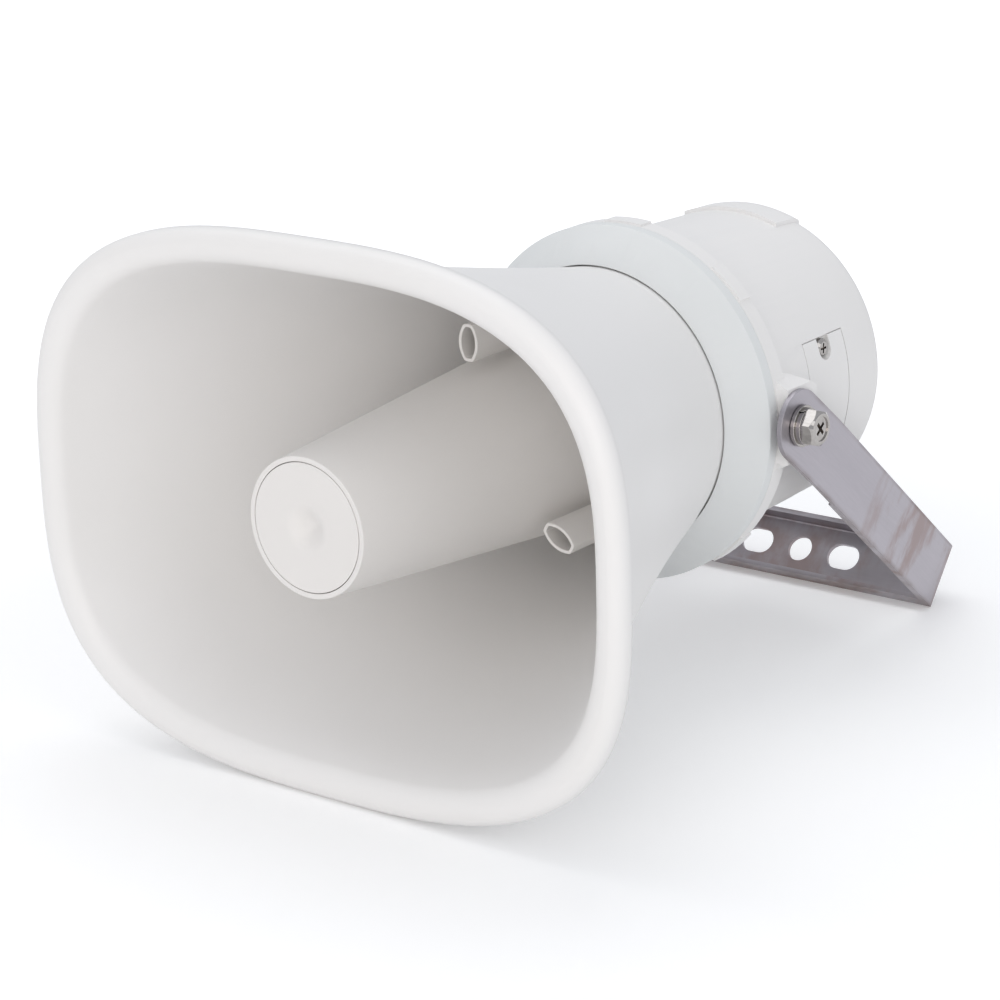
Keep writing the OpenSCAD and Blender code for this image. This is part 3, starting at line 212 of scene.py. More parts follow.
class ShaderKit:
    """Node groups that several finishes share, each built once.

    Scales count patterns per metre. Ranges say where a noise starts and ends to show.
    """

    DRIFT_SCALE = 9.0
    DRIFT_RANGE: Span = (0.35, 0.68)
    DRIFT_SHARE = 0.8
    SPECK_SCALE = 240.0
    SPECK_RANGE: Span = (0.62, 0.78)
    HANDLING_SCALE = 34.0
    FINE_MARK_SHARE = 0.45
    BROAD_MARK_SCALE = 60.0
    BLOTCH_SCALE = 38.0
    BLOTCH_STRETCH = (1.0, 1.6, 0.6)
    BLOTCH_RANGE: Span = (0.47, 0.63)
    STAINED_RANGE: Span = (0.32, 0.62)
    RIM_RANGE: Span = (0.86, 0.99)
    FOOT_RANGE: Span = (0.9, 0.985)
    FOOT_SHARE = 0.4
    BROKEN_RIM_SCALE = 70.0
    BROKEN_RIM_RANGE: Span = (0.2, 0.75)
    DULL_SCALE = 24.0

    def __init__(self) -> None:
        """Builds every group."""
        self.moulding = self._moulding()
        self.streaks = self._streaks()
        self.tarnish = self._tarnish()

    @staticmethod
    def _spread_gloss(
        tree: bpy.types.NodeTree, pattern: bpy.types.NodeSocket, start: bpy.types.Node
    ) -> bpy.types.NodeSocket:
        """Lets a pattern raise and lower the gloss of a group by its spread.

        Args:
            tree: The group.
            pattern: The pattern, 0 to 1.
            start: The group's input node, with Gloss and Gloss Spread.

        Returns:
            The roughness.
        """
        centred = math_node(tree, "MULTIPLY", math_node(tree, "SUBTRACT", pattern, 0.5),
                            start.outputs["Gloss Spread"])
        doubled = math_node(tree, "MULTIPLY", centred, 2.0)
        return math_node(tree, "ADD", start.outputs["Gloss"], doubled)

    def _moulding(self) -> bpy.types.NodeTree:
        """Grain of a moulded or cast surface with a slow drift of tone and gloss.

        Returns:
            The node group.
        """
        tree, start, end = new_group(
            "Moulded grain",
            [("Vector", "NodeSocketVector", None), ("Light", "NodeSocketColor", (1, 1, 1, 1)),
             ("Deep", "NodeSocketColor", (0.9, 0.9, 0.9, 1)), ("Grain Scale", "NodeSocketFloat", 1500.0),
             ("Gloss", "NodeSocketFloat", 0.4), ("Gloss Spread", "NodeSocketFloat", 0.1)],
            [("Color", "NodeSocketColor"), ("Roughness", "NodeSocketFloat"),
             ("Height", "NodeSocketFloat")])
        vector = start.outputs["Vector"]
        drift = ramp_range(tree, noise_node(tree, vector, self.DRIFT_SCALE, 3.0), *self.DRIFT_RANGE)
        speck = ramp_range(tree, noise_node(tree, vector, self.SPECK_SCALE, 2.0), *self.SPECK_RANGE)
        shade = math_node(tree, "ADD", math_node(tree, "MULTIPLY", drift, self.DRIFT_SHARE),
                          math_node(tree, "MULTIPLY", speck, 1 - self.DRIFT_SHARE), clamp=True)
        colour = mix_colour(tree, shade, start.outputs["Light"], start.outputs["Deep"])
        grain = noise_node(tree, vector, start.outputs["Grain Scale"], 2.0, 0.6)
        handling = noise_node(tree, vector, self.HANDLING_SCALE, 4.0, 0.6)
        rough = self._spread_gloss(tree, handling, start)
        tree.links.new(colour, end.inputs["Color"])
        tree.links.new(rough, end.inputs["Roughness"])
        tree.links.new(grain, end.inputs["Height"])
        return tree

    def _streaks(self) -> bpy.types.NodeTree:
        """Fine rolling or turning marks along one direction of a metal.

        Returns:
            The node group.
        """
        tree, start, end = new_group(
            "Metal streaks",
            [("Vector", "NodeSocketVector", None), ("Scale", "NodeSocketFloat", 900.0),
             ("Gloss", "NodeSocketFloat", 0.3), ("Gloss Spread", "NodeSocketFloat", 0.1)],
            [("Tone", "NodeSocketFloat"), ("Roughness", "NodeSocketFloat"),
             ("Height", "NodeSocketFloat")])
        fine = noise_node(tree, start.outputs["Vector"], start.outputs["Scale"], 3.0, 0.7)
        broad = noise_node(tree, start.outputs["Vector"], self.BROAD_MARK_SCALE, 3.0)
        tone = math_node(tree, "ADD", math_node(tree, "MULTIPLY", fine, self.FINE_MARK_SHARE),
                         math_node(tree, "MULTIPLY", broad, 1 - self.FINE_MARK_SHARE))
        rough = self._spread_gloss(tree, tone, start)
        tree.links.new(tone, end.inputs["Tone"])
        tree.links.new(rough, end.inputs["Roughness"])
        tree.links.new(fine, end.inputs["Height"])
        return tree

    def _tarnish(self) -> bpy.types.NodeTree:
        """Brown stain that grows along a strip towards its foot and gathers on its edges.

        Returns:
            The node group.
        """
        tree, start, end = new_group(
            "Strip tarnish",
            [("Vector", "NodeSocketVector", None), ("Strip Half Width", "NodeSocketFloat", 0.01375),
             ("Foot Distance", "NodeSocketFloat", 0.15)],
            [("Stain", "NodeSocketFloat"), ("Edge", "NodeSocketFloat"), ("Dull", "NodeSocketFloat")])
        parts = tree.nodes.new("ShaderNodeSeparateXYZ")
        tree.links.new(start.outputs["Vector"], parts.inputs[0])
        along = math_node(tree, "DIVIDE", parts.outputs["Y"], start.outputs["Foot Distance"])
        across = math_node(tree, "DIVIDE", math_node(tree, "ABSOLUTE", parts.outputs["Z"]),
                           start.outputs["Strip Half Width"])
        wide = tree.nodes.new("ShaderNodeMapping")
        wide.inputs["Scale"].default_value = self.BLOTCH_STRETCH
        tree.links.new(start.outputs["Vector"], wide.inputs["Vector"])
        cloud = noise_node(tree, wide.outputs[0], self.BLOTCH_SCALE, 5.0, 0.6)
        blotch = ramp_range(tree, cloud, *self.BLOTCH_RANGE)
        stain = math_node(tree, "MULTIPLY", blotch, ramp_range(tree, along, *self.STAINED_RANGE),
                          clamp=True)
        rim = ramp_range(tree, across, *self.RIM_RANGE)
        foot = math_node(tree, "MULTIPLY", ramp_range(tree, along, *self.FOOT_RANGE), self.FOOT_SHARE)
        broken = noise_node(tree, start.outputs["Vector"], self.BROKEN_RIM_SCALE, 3.0)
        edge = math_node(tree, "MULTIPLY", math_node(tree, "MAXIMUM", rim, foot),
                         ramp_range(tree, broken, *self.BROKEN_RIM_RANGE), clamp=True)
        dull = noise_node(tree, start.outputs["Vector"], self.DULL_SCALE, 2.0)
        tree.links.new(stain, end.inputs["Stain"])
        tree.links.new(edge, end.inputs["Edge"])
        tree.links.new(dull, end.inputs["Dull"])
        return tree


# Finishes


class FinishBuilder:
    """Starts a material and wires what every finish needs."""

    def __init__(self, name: str) -> None:
        """Starts the material.

        Args:
            name: Name of the material.
        """
        self.material = bpy.data.materials.new(name)
        self.material.use_nodes = True
        self.tree = self.material.node_tree
        self.shader = self.tree.nodes["Principled BSDF"]
        coords = self.tree.nodes.new("ShaderNodeTexCoord")
        self.coords = coords.outputs["Object"]

    def mapped(
        self, scale: Sequence[float], origin: Sequence[float] = (0, 0, 0), turn_x: float = 0.0
    ) -> bpy.types.NodeSocket:
        """Places the coordinates on a piece.

        Args:
            scale: Stretch of the pattern along each axis.
            origin: The pattern's centre.
            turn_x: Turn of the pattern about X, in degrees.

        Returns:
            The placed coordinates.
        """
        place = self.tree.nodes.new("ShaderNodeMapping")
        place.vector_type = "TEXTURE"
        place.inputs["Location"].default_value = origin
        place.inputs["Rotation"].default_value = (math.radians(turn_x), 0, 0)
        self.tree.links.new(self.coords, place.inputs["Vector"])
        stretch = self.tree.nodes.new("ShaderNodeMapping")
        stretch.inputs["Scale"].default_value = scale
        self.tree.links.new(place.outputs[0], stretch.inputs["Vector"])
        return stretch.outputs[0]

    def group(
        self, tree: bpy.types.NodeTree, vector: bpy.types.NodeSocket, values: Dict[str, object]
    ) -> bpy.types.Node:
        """Places a shared group in the material.

        Args:
            tree: The group.
            vector: Coordinates that it reads.
            values: Value of each other input.

        Returns:
            The group node.
        """
        node = self.tree.nodes.new("ShaderNodeGroup")
        node.node_tree = tree
        self.tree.links.new(vector, node.inputs["Vector"])
        for label, value in values.items():
            node.inputs[label].default_value = value
        return node

    def bump(self, height: bpy.types.NodeSocket, depth: float) -> None:
        """Adds a Bump node.

        Args:
            height: Height of the relief, 0 to 1.
            depth: Its full depth in metres.
        """
        node = self.tree.nodes.new("ShaderNodeBump")
        node.inputs["Strength"].default_value = 1.0
        node.inputs["Distance"].default_value = depth
        self.tree.links.new(height, node.inputs["Height"])
        self.tree.links.new(node.outputs["Normal"], self.shader.inputs["Normal"])

    def link(self, socket: bpy.types.NodeSocket, name: str) -> None:
        """Feeds a shader socket by name."""
        self.tree.links.new(socket, self.shader.inputs[name])


@dataclass(frozen=True)
class Moulded:
    """Moulded plastic, rubber or cast metal with a fine grain."""

    name: str
    light: Colour
    deep: Colour
    gloss: float = 0.42
    gloss_spread: float = 0.06
    grain_scale: float = 1500.0
    grain_depth: float = 0.00002
    metallic: float = 0.0

    def build(self, kit: ShaderKit) -> bpy.types.Material:
        """Builds the material.

        Args:
            kit: Shared shader groups.

        Returns:
            The material.
        """
        maker = FinishBuilder(self.name)
        group = maker.group(kit.moulding, maker.coords, {
            "Light": (*self.light, 1.0), "Deep": (*self.deep, 1.0), "Grain Scale": self.grain_scale,
            "Gloss": self.gloss, "Gloss Spread": self.gloss_spread})
        maker.link(group.outputs["Color"], "Base Color")
        maker.link(group.outputs["Roughness"], "Roughness")
        maker.bump(group.outputs["Height"], self.grain_depth)
        maker.shader.inputs["Metallic"].default_value = self.metallic
        return maker.material


@dataclass(frozen=True)
class WorkedMetal:
    """Rolled, turned or plated metal with directional marks."""

    name: str
    light: Colour
    deep: Colour
    gloss: float = 0.28
    gloss_spread: float = 0.08
    mark_scale: float = 700.0
    mark_depth: float = 0.000006
    stretch: Tuple[float, float, float] = (1.0, 0.05, 1.0)

    def build(self, kit: ShaderKit) -> bpy.types.Material:
        """Builds the material.

        Args:
            kit: Shared shader groups.

        Returns:
            The material.
        """
        maker = FinishBuilder(self.name)
        group = maker.group(kit.streaks, maker.mapped(self.stretch), {
            "Scale": self.mark_scale, "Gloss": self.gloss, "Gloss Spread": self.gloss_spread})
        tone = ramp_range(maker.tree, group.outputs["Tone"], *TONE_RANGE)
        maker.link(mix_colour(maker.tree, tone, self.deep, self.light), "Base Color")
        maker.link(group.outputs["Roughness"], "Roughness")
        maker.bump(group.outputs["Height"], self.mark_depth)
        maker.shader.inputs["Metallic"].default_value = 1.0
        return maker.material


@dataclass(frozen=True)
class TarnishedSteel:
    """Rolled stainless strip with brown heat and weather stains."""

    name: str
    light: Colour
    deep: Colour
    stain: Colour
    rim: Colour
    origin: Tuple[float, float, float]
    tilt: float
    half_width: float
    foot_distance: float
    gloss: float = 0.34
    gloss_spread: float = 0.1
    mark_scale: float = 1300.0
    mark_depth: float = 0.000008
    stretch: Tuple[float, float, float] = (0.06, 0.06, 1.0)
    stain_share: float = 0.7
    rim_share: float = 0.5
    stain_dulls: float = 0.1
    haze_dulls: float = 0.08

    def build(self, kit: ShaderKit) -> bpy.types.Material:
        """Builds the material in the tilted frame of the bracket.

        Args:
            kit: Shared shader groups.

        Returns:
            The material.
        """
        maker = FinishBuilder(self.name)
        tree = maker.tree
        strip = maker.mapped((1, 1, 1), self.origin, -self.tilt)
        rolled = maker.mapped(self.stretch, self.origin, -self.tilt)
        marks = maker.group(kit.streaks, rolled, {
            "Scale": self.mark_scale, "Gloss": self.gloss, "Gloss Spread": self.gloss_spread})
        stains = maker.group(kit.tarnish, strip, {
            "Strip Half Width": self.half_width, "Foot Distance": self.foot_distance})
        tone = ramp_range(tree, marks.outputs["Tone"], *TONE_RANGE)
        clean = mix_colour(tree, tone, self.deep, self.light)
        soft = math_node(tree, "MULTIPLY", stains.outputs["Stain"], self.stain_share)
        stained = mix_colour(tree, soft, clean, self.stain)
        hard = math_node(tree, "MULTIPLY", stains.outputs["Edge"], self.rim_share)
        maker.link(mix_colour(tree, hard, stained, self.rim), "Base Color")
        marked = math_node(tree, "ADD", stains.outputs["Stain"], stains.outputs["Edge"])
        added = math_node(tree, "MULTIPLY", marked, self.stain_dulls)
        haze = math_node(tree, "MULTIPLY", stains.outputs["Dull"], self.haze_dulls)
        total = math_node(tree, "ADD", marks.outputs["Roughness"], math_node(tree, "ADD", added, haze))
        maker.link(total, "Roughness")
        maker.bump(marks.outputs["Height"], self.mark_depth)
        maker.shader.inputs["Metallic"].default_value = 1.0
        return maker.material


@dataclass(frozen=True)
class Layered:
    """Stacked sheets or wound wire: fine parallel lines across a surface."""

    name: str
    light: Colour
    deep: Colour
    axis: Tuple[float, float, float]
    pitch: float
    metallic: float
    gloss: float
    depth: float
    waviness: float = 0.4
    groove_shade: float = 0.45

    def build(self, kit: ShaderKit) -> bpy.types.Material:
        """Builds the material.

        Args:
            kit: Shared shader groups.

        Returns:
            The material.
        """
        maker = FinishBuilder(self.name)
        tree = maker.tree
        wave = tree.nodes.new("ShaderNodeTexWave")
        wave.wave_type = "BANDS"
        wave.bands_direction = "X"
        wave.inputs["Scale"].default_value = BAND_LENGTH / self.pitch
        wave.inputs["Distortion"].default_value = self.waviness
        wave.inputs["Detail Scale"].default_value = 2.0
        tree.links.new(maker.mapped(self.axis), wave.inputs["Vector"])
        grime = maker.group(kit.moulding, maker.coords, {
            "Light": (*self.light, 1.0), "Deep": (*self.deep, 1.0), "Gloss": self.gloss})
        dark = tuple(self.groove_shade * part for part in self.deep)
        maker.link(mix_colour(tree, wave.outputs["Fac"], dark, grime.outputs["Color"]), "Base Color")
        maker.link(grime.outputs["Roughness"], "Roughness")
        maker.bump(wave.outputs["Fac"], self.depth)
        maker.shader.inputs["Metallic"].default_value = self.metallic
        return maker.material


# Sizes shared by the sub-assemblies


@dataclass(frozen=True)
class Layout:
    """Where the horn's axis and the bracket lie in the row frame, in metres and degrees."""

    axis_y: float = 0.0103053
    axis_z: float = 0.1035856
    dip: float = 1.06465
    pivot_back: float = 0.0236
    arm_slope: float = 38.7
    bracket_reach: float = 0.1545
    strip_width: float = 0.0275

    @property
    def to_row(self) -> Matrix:
        """Moves from the horn's axis at the ring's front to the row frame."""
        turn = Matrix.Rotation(math.radians(self.dip), 4, "X")
        return Matrix.Translation((0.0, self.axis_y, self.axis_z)) @ turn

    @property
    def pivot(self) -> Vector:
        """Middle of the tilting axis."""
        return self.to_row @ Vector((0.0, self.pivot_back, 0.0))

    @property
    def bracket_tilt(self) -> float:
        """Angle of the bracket's arms below the level."""
        return self.arm_slope - self.dip


# Making pieces


class Piece:
    """Turns a bmesh into a shown object that rides on a body."""

    WELD = 0.002 * MM
    SLIVER = 0.004 * MM
    FLAT_ANGLE = 0.4

    @staticmethod
    def finish(
        bm: bmesh.types.BMesh, name: str, material: bpy.types.Material, slot: Slot, body: Body,
        replaces: Sequence[str], smooth_angle: float
    ) -> bpy.types.Object:
        """Makes the object, with smooth faces that break at sharp edges.

        Args:
            bm: The shape, in the row frame. It is freed.
            name: Name of the piece.
            material: Its finish.
            slot: The record's slot that the finish belongs to. Not used.
            body: The body that it rides on.
            replaces: CAD nodes that it stands for.
            smooth_angle: Edges sharper than this stay sharp, in degrees.

        Returns:
            The object.
        """
        limit = math.radians(smooth_angle)
        for face in bm.faces:
            face.smooth = True
        for edge in bm.edges:
            if len(edge.link_faces) == 2:
                edge.smooth = edge.calc_face_angle(0.0) < limit
        mesh = bpy.data.meshes.new(name)
        bm.to_mesh(mesh)
        bm.free()
        obj = bpy.data.objects.new(name, mesh)
        bpy.context.scene.collection.objects.link(obj)
        mesh.materials.append(material)
        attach(obj, body.value)
        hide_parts(*replaces)
        LOG.info("%s: %d faces, on %s", name, len(mesh.polygons), body.value)
        return obj

    @staticmethod
    def soften(obj: bpy.types.Object, width: float, segments: int, angle: float = 28.0) -> None:
        """Rounds the sharp edges of a piece.

        Args:
            obj: The piece.
            width: Width of the rounding in metres.
            segments: Faces across it.
            angle: Edges sharper than this are rounded, in degrees.
        """
        bevel = obj.modifiers.new("edge_rounding", "BEVEL")
        bevel.limit_method = "ANGLE"
        bevel.angle_limit = math.radians(angle)
        bevel.width = width
        bevel.segments = segments
        bevel.miter_outer = "MITER_ARC"

    @staticmethod
    def merged_copy(node: str) -> bmesh.types.BMesh:
        """Copies a CAD node's mesh and joins its loose triangles.

        Args:
            node: Name of the CAD node.

        Returns:
            The copy in the row frame.
        """
        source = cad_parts[node]
        bm = bmesh.new()
        bm.from_mesh(source.data)
        bmesh.ops.remove_doubles(bm, verts=bm.verts[:], dist=Piece.WELD)
        bmesh.ops.dissolve_degenerate(bm, edges=bm.edges[:], dist=Piece.SLIVER)
        bmesh.ops.dissolve_limit(
            bm, angle_limit=math.radians(Piece.FLAT_ANGLE), verts=bm.verts[:], edges=bm.edges[:],
            delimit={"NORMAL"})
        return bm


@dataclass
class Flare:
    """The moulded flare: a round neck that opens to a rounded rectangle with a rolled lip."""

    layout: Layout
    neck_radius: float = 56 * MM
    wall: float = 3 * MM
    mouth_width: float = 262 * MM
    mouth_height: float = 201 * MM
    depth: float = 172 * MM
    squareness: float = 2.95
    curve_w: float = 1.25
    curve_h: float = 1.15
    lip_inner: float = 8 * MM
    lip_outer: float = 5 * MM
    lip_back: float = 2.5 * MM
    lip_edge: float = 0.3 * MM
    lip_start: int = 19
    flange_radius: float = 60 * MM
    flange_front: float = 6 * MM
    flange_rear: float = 9 * MM
    columns: int = 144
    wall_steps: int = 22
    smooth_angle: float = 50.0

    def __post_init__(self) -> None:
        """Works out the sizes that follow from the others."""
        sine = math.sin(math.radians(self.lip_start))
        self.lip_y = -self.depth + self.lip_inner * (1 - sine)
        self.lip_off = self.lip_inner * math.cos(math.radians(self.lip_start))
        self.end_w = self.mouth_width / 2 - self.lip_outer - self.lip_off
        self.end_h = self.mouth_height / 2 - self.lip_outer - self.lip_off
        self.bore = self.neck_radius - self.wall

    def opening(self, y: float) -> float:
        """Share of the way from the neck to the lip."""
        return max(0.0, -y) / -self.lip_y

    def section(self, y: float) -> Tuple[float, float, float]:
        """Inner half width, half height and exponent at a station.

        Args:
            y: The station on the axis.

        Returns:
            Half width, half height and superellipse exponent.
        """
        share = self.opening(y)
        half_w = self.bore + (self.end_w - self.bore) * share ** self.curve_w
        half_h = self.bore + (self.end_h - self.bore) * share ** self.curve_h
        return half_w, half_h, 2 + (self.squareness - 2) * math.sqrt(min(1.0, share))

    def thickness(self, y: float) -> float:
        """Wall measured across the axis, thicker where the wall slopes.

        Args:
            y: The station on the axis.

        Returns:
            The offset of the outer surface.
        """
        share = max(self.opening(y), 1e-6)
        slope_w = (self.end_w - self.bore) * self.curve_w * share ** (self.curve_w - 1)
        slope_h = (self.end_h - self.bore) * self.curve_h * share ** (self.curve_h - 1)
        slope = (slope_w + slope_h) / 2 / -self.lip_y if y < 0 else 0.0
        return self.wall * math.sqrt(1 + slope * slope)

    def lip_arc(self, centre: float, radius: float, side: int, angles: Sequence[int]) -> List[Row]:
        """Rows along one quarter of the rolled lip.

        Args:
            centre: Station of the arc's centre.
            radius: Its radius.
            side: 1 for the outer quarter, -1 for the inner one.
            angles: Turns from the crosswise direction to the front, in degrees.

        Returns:
            The rows.
        """
        turns = [math.radians(angle) for angle in angles]
        return [(centre - radius * math.sin(turn), self.lip_off + side * radius * math.cos(turn),
                 self.lip_y) for turn in turns]

    def rows(self) -> List[Row]:
        """Outline of the wall's section.

        Returns:
            Rows of station, offset from the inner surface, and station of the section.
        """
        walls = [self.lip_y * (step / self.wall_steps) for step in range(1, self.wall_steps - 1)]
        flange = self.flange_radius - self.bore
        rows = [(self.flange_rear, flange, 0.0), (self.flange_front, flange, 0.0),
                (self.flange_front, self.wall, 0.0), (0.0, self.wall, 0.0)]
        rows += [(y, self.thickness(y), y) for y in walls]
        inner_y = -self.depth + self.lip_inner
        outer_y = -self.depth + self.lip_outer
        back = outer_y + self.lip_back
        rim = self.lip_off + self.lip_outer
        thin_out = self.lip_outer - self.wall
        rows += self.lip_arc(inner_y, self.lip_inner - self.wall, -1, range(self.lip_start, 91, 12))
        rows += self.lip_arc(outer_y, thin_out, 1, range(60, -1, -30))
        rows += [(back, self.lip_off + thin_out, self.lip_y), (back, rim - self.lip_edge, self.lip_y),
                 (back - self.lip_edge, rim, self.lip_y)]
        rows += self.lip_arc(outer_y, self.lip_outer, 1, range(0, 90, 12))
        rows += self.lip_arc(inner_y, self.lip_inner, -1, range(90, self.lip_start, -10))
        rows += [(y, 0.0, y) for y in reversed(walls)]
        rows += [(0.0, 0.0, 0.0), (self.flange_rear, 0.0, 0.0)]
        return rows

    def shape(
        self, verts: Sequence[bmesh.types.BMVert], row: Row, around: bmesh.types.BMLayerItem
    ) -> None:
        """Moves a ring of vertices to one row of the wall.

        Args:
            verts: The ring.
            row: Station, offset and station of the section.
            around: Layer that holds each vertex's angle.
        """
        station, offset, at = row
        half_w, half_h, power = self.section(at)
        for vert in verts:
            cosine, sine = math.cos(vert[around]), math.sin(vert[around])
            vert.co = Vector((
                (half_w + offset) * math.copysign(abs(cosine) ** (2 / power), cosine), station,
                (half_h + offset) * math.copysign(abs(sine) ** (2 / power), sine)))

    def build(self, material: bpy.types.Material) -> bpy.types.Object:
        """Extrudes a ring along the outline and closes it on itself.

        Args:
            material: The shell's finish.

        Returns:
            The flare.
        """
        bm = bmesh.new()
        around = bm.verts.layers.float.new("around")
        ring = bmesh.ops.create_circle(bm, cap_ends=False, segments=self.columns, radius=1.0)["verts"]
        for vert in ring:
            vert[around] = math.atan2(vert.co.y, vert.co.x) + math.pi / self.columns
        rows = self.rows()
        self.shape(ring, rows[0], around)
        first = bm.edges[:]
        edges = first
        for row in rows[1:]:
            made = bmesh.ops.extrude_edge_only(bm, edges=edges)["geom"]
            edges = [item for item in made if isinstance(item, bmesh.types.BMEdge)]
            self.shape([item for item in made if isinstance(item, bmesh.types.BMVert)], row, around)
        bmesh.ops.bridge_loops(bm, edges=first + edges)
        bmesh.ops.recalc_face_normals(bm, faces=bm.faces[:])
        bmesh.ops.transform(bm, matrix=self.layout.to_row, verts=bm.verts[:])
        return Piece.finish(
            bm, "flare_shell", material, Slot.SHELL, Body.HORN, ["flare"], self.smooth_angle)


@dataclass
class Dressing:
    """CAD nodes that are shown through a merged copy with rounded edges."""

    slot: Slot
    body: Body
    nodes: Sequence[str]
    rounding: float
    smooth_angle: float = 32.0
    segments: int = 2

    def build(self, material: bpy.types.Material) -> List[bpy.types.Object]:
        """Makes one dressed copy of each node.

        Args:
            material: The finish of all of them.

        Returns:
            The pieces.
        """
        made = []
        for node in self.nodes:
            obj = Piece.finish(Piece.merged_copy(node), node + "_dressed", material, self.slot,
                               self.body, [node], self.smooth_angle)
            Piece.soften(obj, self.rounding, self.segments)
            made.append(obj)
        return made


@dataclass
class HiddenWorks:
    """Nodes inside the closed can, which keep their CAD shape."""

    nodes: Dict[str, Slot]

    def build(self, finishes: Dict[Slot, bpy.types.Material]) -> None:
        """Gives each node its finish.

        Args:
            finishes: The finish of each slot.
        """
        for name, slot in self.nodes.items():
            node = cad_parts[name]
            node.data.materials.clear()
            node.data.materials.append(finishes[slot])
            LOG.info("%s: finished as %s", name, slot.value)


# Stage


@dataclass(frozen=True)
class Softbox:
    """One square softbox that faces the object: its middle, side, watts and tint."""

    name: str
    place: Tuple[float, float, float]
    size: float
    power: float
    tint: Colour = WHITE

    def build(self, aim: Vector) -> None:
        """Hangs the softbox.

        Args:
            aim: The point that it faces.
        """
        data = bpy.data.lights.new(self.name, "AREA")
        data.size = self.size
        data.energy = self.power
        data.color = self.tint
        lamp = bpy.data.objects.new(self.name, data)
        lamp.location = self.place
        lamp.rotation_euler = (aim - Vector(self.place)).to_track_quat("-Z", "Y").to_euler()
        bpy.context.scene.collection.objects.link(lamp)


@dataclass
class Studio:
    """Plain pale floor, soft lights and the camera of the photograph."""

    camera_place: Tuple[float, float, float] = (0.68833, -0.94474, 0.42128)
    azimuth: float = 37.6693
    elevation: float = 16.6884
    roll: float = -0.8877
    focal_share: float = 3.19
    sensor: float = 36.0
    aim: Tuple[float, float, float] = (0.0, 0.0, 0.1)
    sky_fill: float = 0.64
    sky_tint: Colour = (0.925, 0.95, 1.0)
    sky_mirrored: float = 0.2
    floor_half: float = 6.0
    floor_colour: Colour = (0.93, 0.93, 0.93)
    glow_start: float = 0.2
    glow_end: float = 0.7
    glow_near: float = 0.17
    glow_gain: float = 0.35
    glow_mirrored: float = 0.25
    softboxes: Sequence[Softbox] = (
        Softbox("front_softbox", (0.2, -2.5, 0.55), 1.4, 8.5, (1.0, 0.94, 0.895)),
        Softbox("camera_softbox", (1.15, -1.8, 0.6), 0.9, 6.0, (1.0, 0.945, 0.9)),
        Softbox("side_softbox", (2.0, -0.7, 1.2), 1.3, 5.5),
        Softbox("top_softbox", (-0.7, 0.2, 2.1), 1.8, 13.0),
    )

    def camera(self) -> bpy.types.Object:
        """Sets the camera.

        Returns:
            The camera.
        """
        az, el, ro = (math.radians(a) for a in (self.azimuth, self.elevation, self.roll))
        forward = Vector((-math.sin(az) * math.cos(el), math.cos(az) * math.cos(el), -math.sin(el)))
        level = Vector((math.cos(az), math.sin(az), 0.0))
        rise = level.cross(forward)
        right = math.cos(ro) * level + math.sin(ro) * rise
        up = -math.sin(ro) * level + math.cos(ro) * rise
        data = bpy.data.cameras.new("photo_camera")
        data.sensor_fit = "HORIZONTAL"
        data.sensor_width = self.sensor
        data.lens = self.sensor * self.focal_share
        data.clip_start = 0.05
        data.clip_end = 60.0
        cam = bpy.data.objects.new("photo_camera", data)
        turn = Matrix((right, up, -forward)).transposed()
        cam.matrix_world = Matrix.Translation(self.camera_place) @ turn.to_4x4()
        bpy.context.scene.collection.objects.link(cam)
        bpy.context.scene.camera = cam
        return cam

    def sky(self) -> None:
        """Sets a world that shows white and fills the shadows with less."""
        world = bpy.data.worlds.new("white_room")
        bpy.context.scene.world = world
        world.use_nodes = True
        tree = world.node_tree
        back = tree.nodes["Background"]
        path = tree.nodes.new("ShaderNodeLightPath")
        seen = math_node(tree, "MAXIMUM", path.outputs["Is Camera Ray"],
                         path.outputs["Is Transmission Ray"])
        mirrored = math_node(tree, "MULTIPLY", path.outputs["Is Glossy Ray"], self.sky_mirrored)
        seen = math_node(tree, "MAXIMUM", seen, mirrored)
        lift = math_node(tree, "MULTIPLY", seen, 1.0 - self.sky_fill)
        tree.links.new(math_node(tree, "ADD", lift, self.sky_fill), back.inputs["Strength"])
        tint = mix_colour(tree, path.outputs["Is Camera Ray"], self.sky_tint, WHITE)
        tree.links.new(tint, back.inputs["Color"])

    def floor(self) -> None:
        """Lays a pale matt floor that turns white away from the object and keeps its shadow."""
        bm = bmesh.new()
        bmesh.ops.create_grid(bm, x_segments=8, y_segments=8, size=self.floor_half)
        mesh = bpy.data.meshes.new("studio_floor")
        bm.to_mesh(mesh)
        bm.free()
        obj = bpy.data.objects.new("studio_floor", mesh)
        bpy.context.scene.collection.objects.link(obj)
        material = bpy.data.materials.new("pale_floor")
        material.use_nodes = True
        shader = material.node_tree.nodes["Principled BSDF"]
        shader.inputs["Base Color"].default_value = (*self.floor_colour, 1.0)
        shader.inputs["Roughness"].default_value = 0.9
        shader.inputs["Specular IOR Level"].default_value = 0.1
        tree = material.node_tree
        coords = tree.nodes.new("ShaderNodeTexCoord")
        reach = tree.nodes.new("ShaderNodeVectorMath")
        reach.operation = "LENGTH"
        tree.links.new(coords.outputs["Object"], reach.inputs[0])
        path = tree.nodes.new("ShaderNodeLightPath")
        far = ramp_range(tree, reach.outputs["Value"], self.glow_start, self.glow_end)
        level = math_node(tree, "ADD", math_node(tree, "MULTIPLY", far, self.glow_gain), self.glow_near)
        seen = math_node(tree, "MULTIPLY", path.outputs["Is Camera Ray"], level)
        mirrored = math_node(tree, "MULTIPLY", path.outputs["Is Glossy Ray"], self.glow_mirrored)
        glow = math_node(tree, "ADD", seen, mirrored)
        shader.inputs["Emission Color"].default_value = (*WHITE, 1.0)
        tree.links.new(glow, shader.inputs["Emission Strength"])
        mesh.materials.append(material)

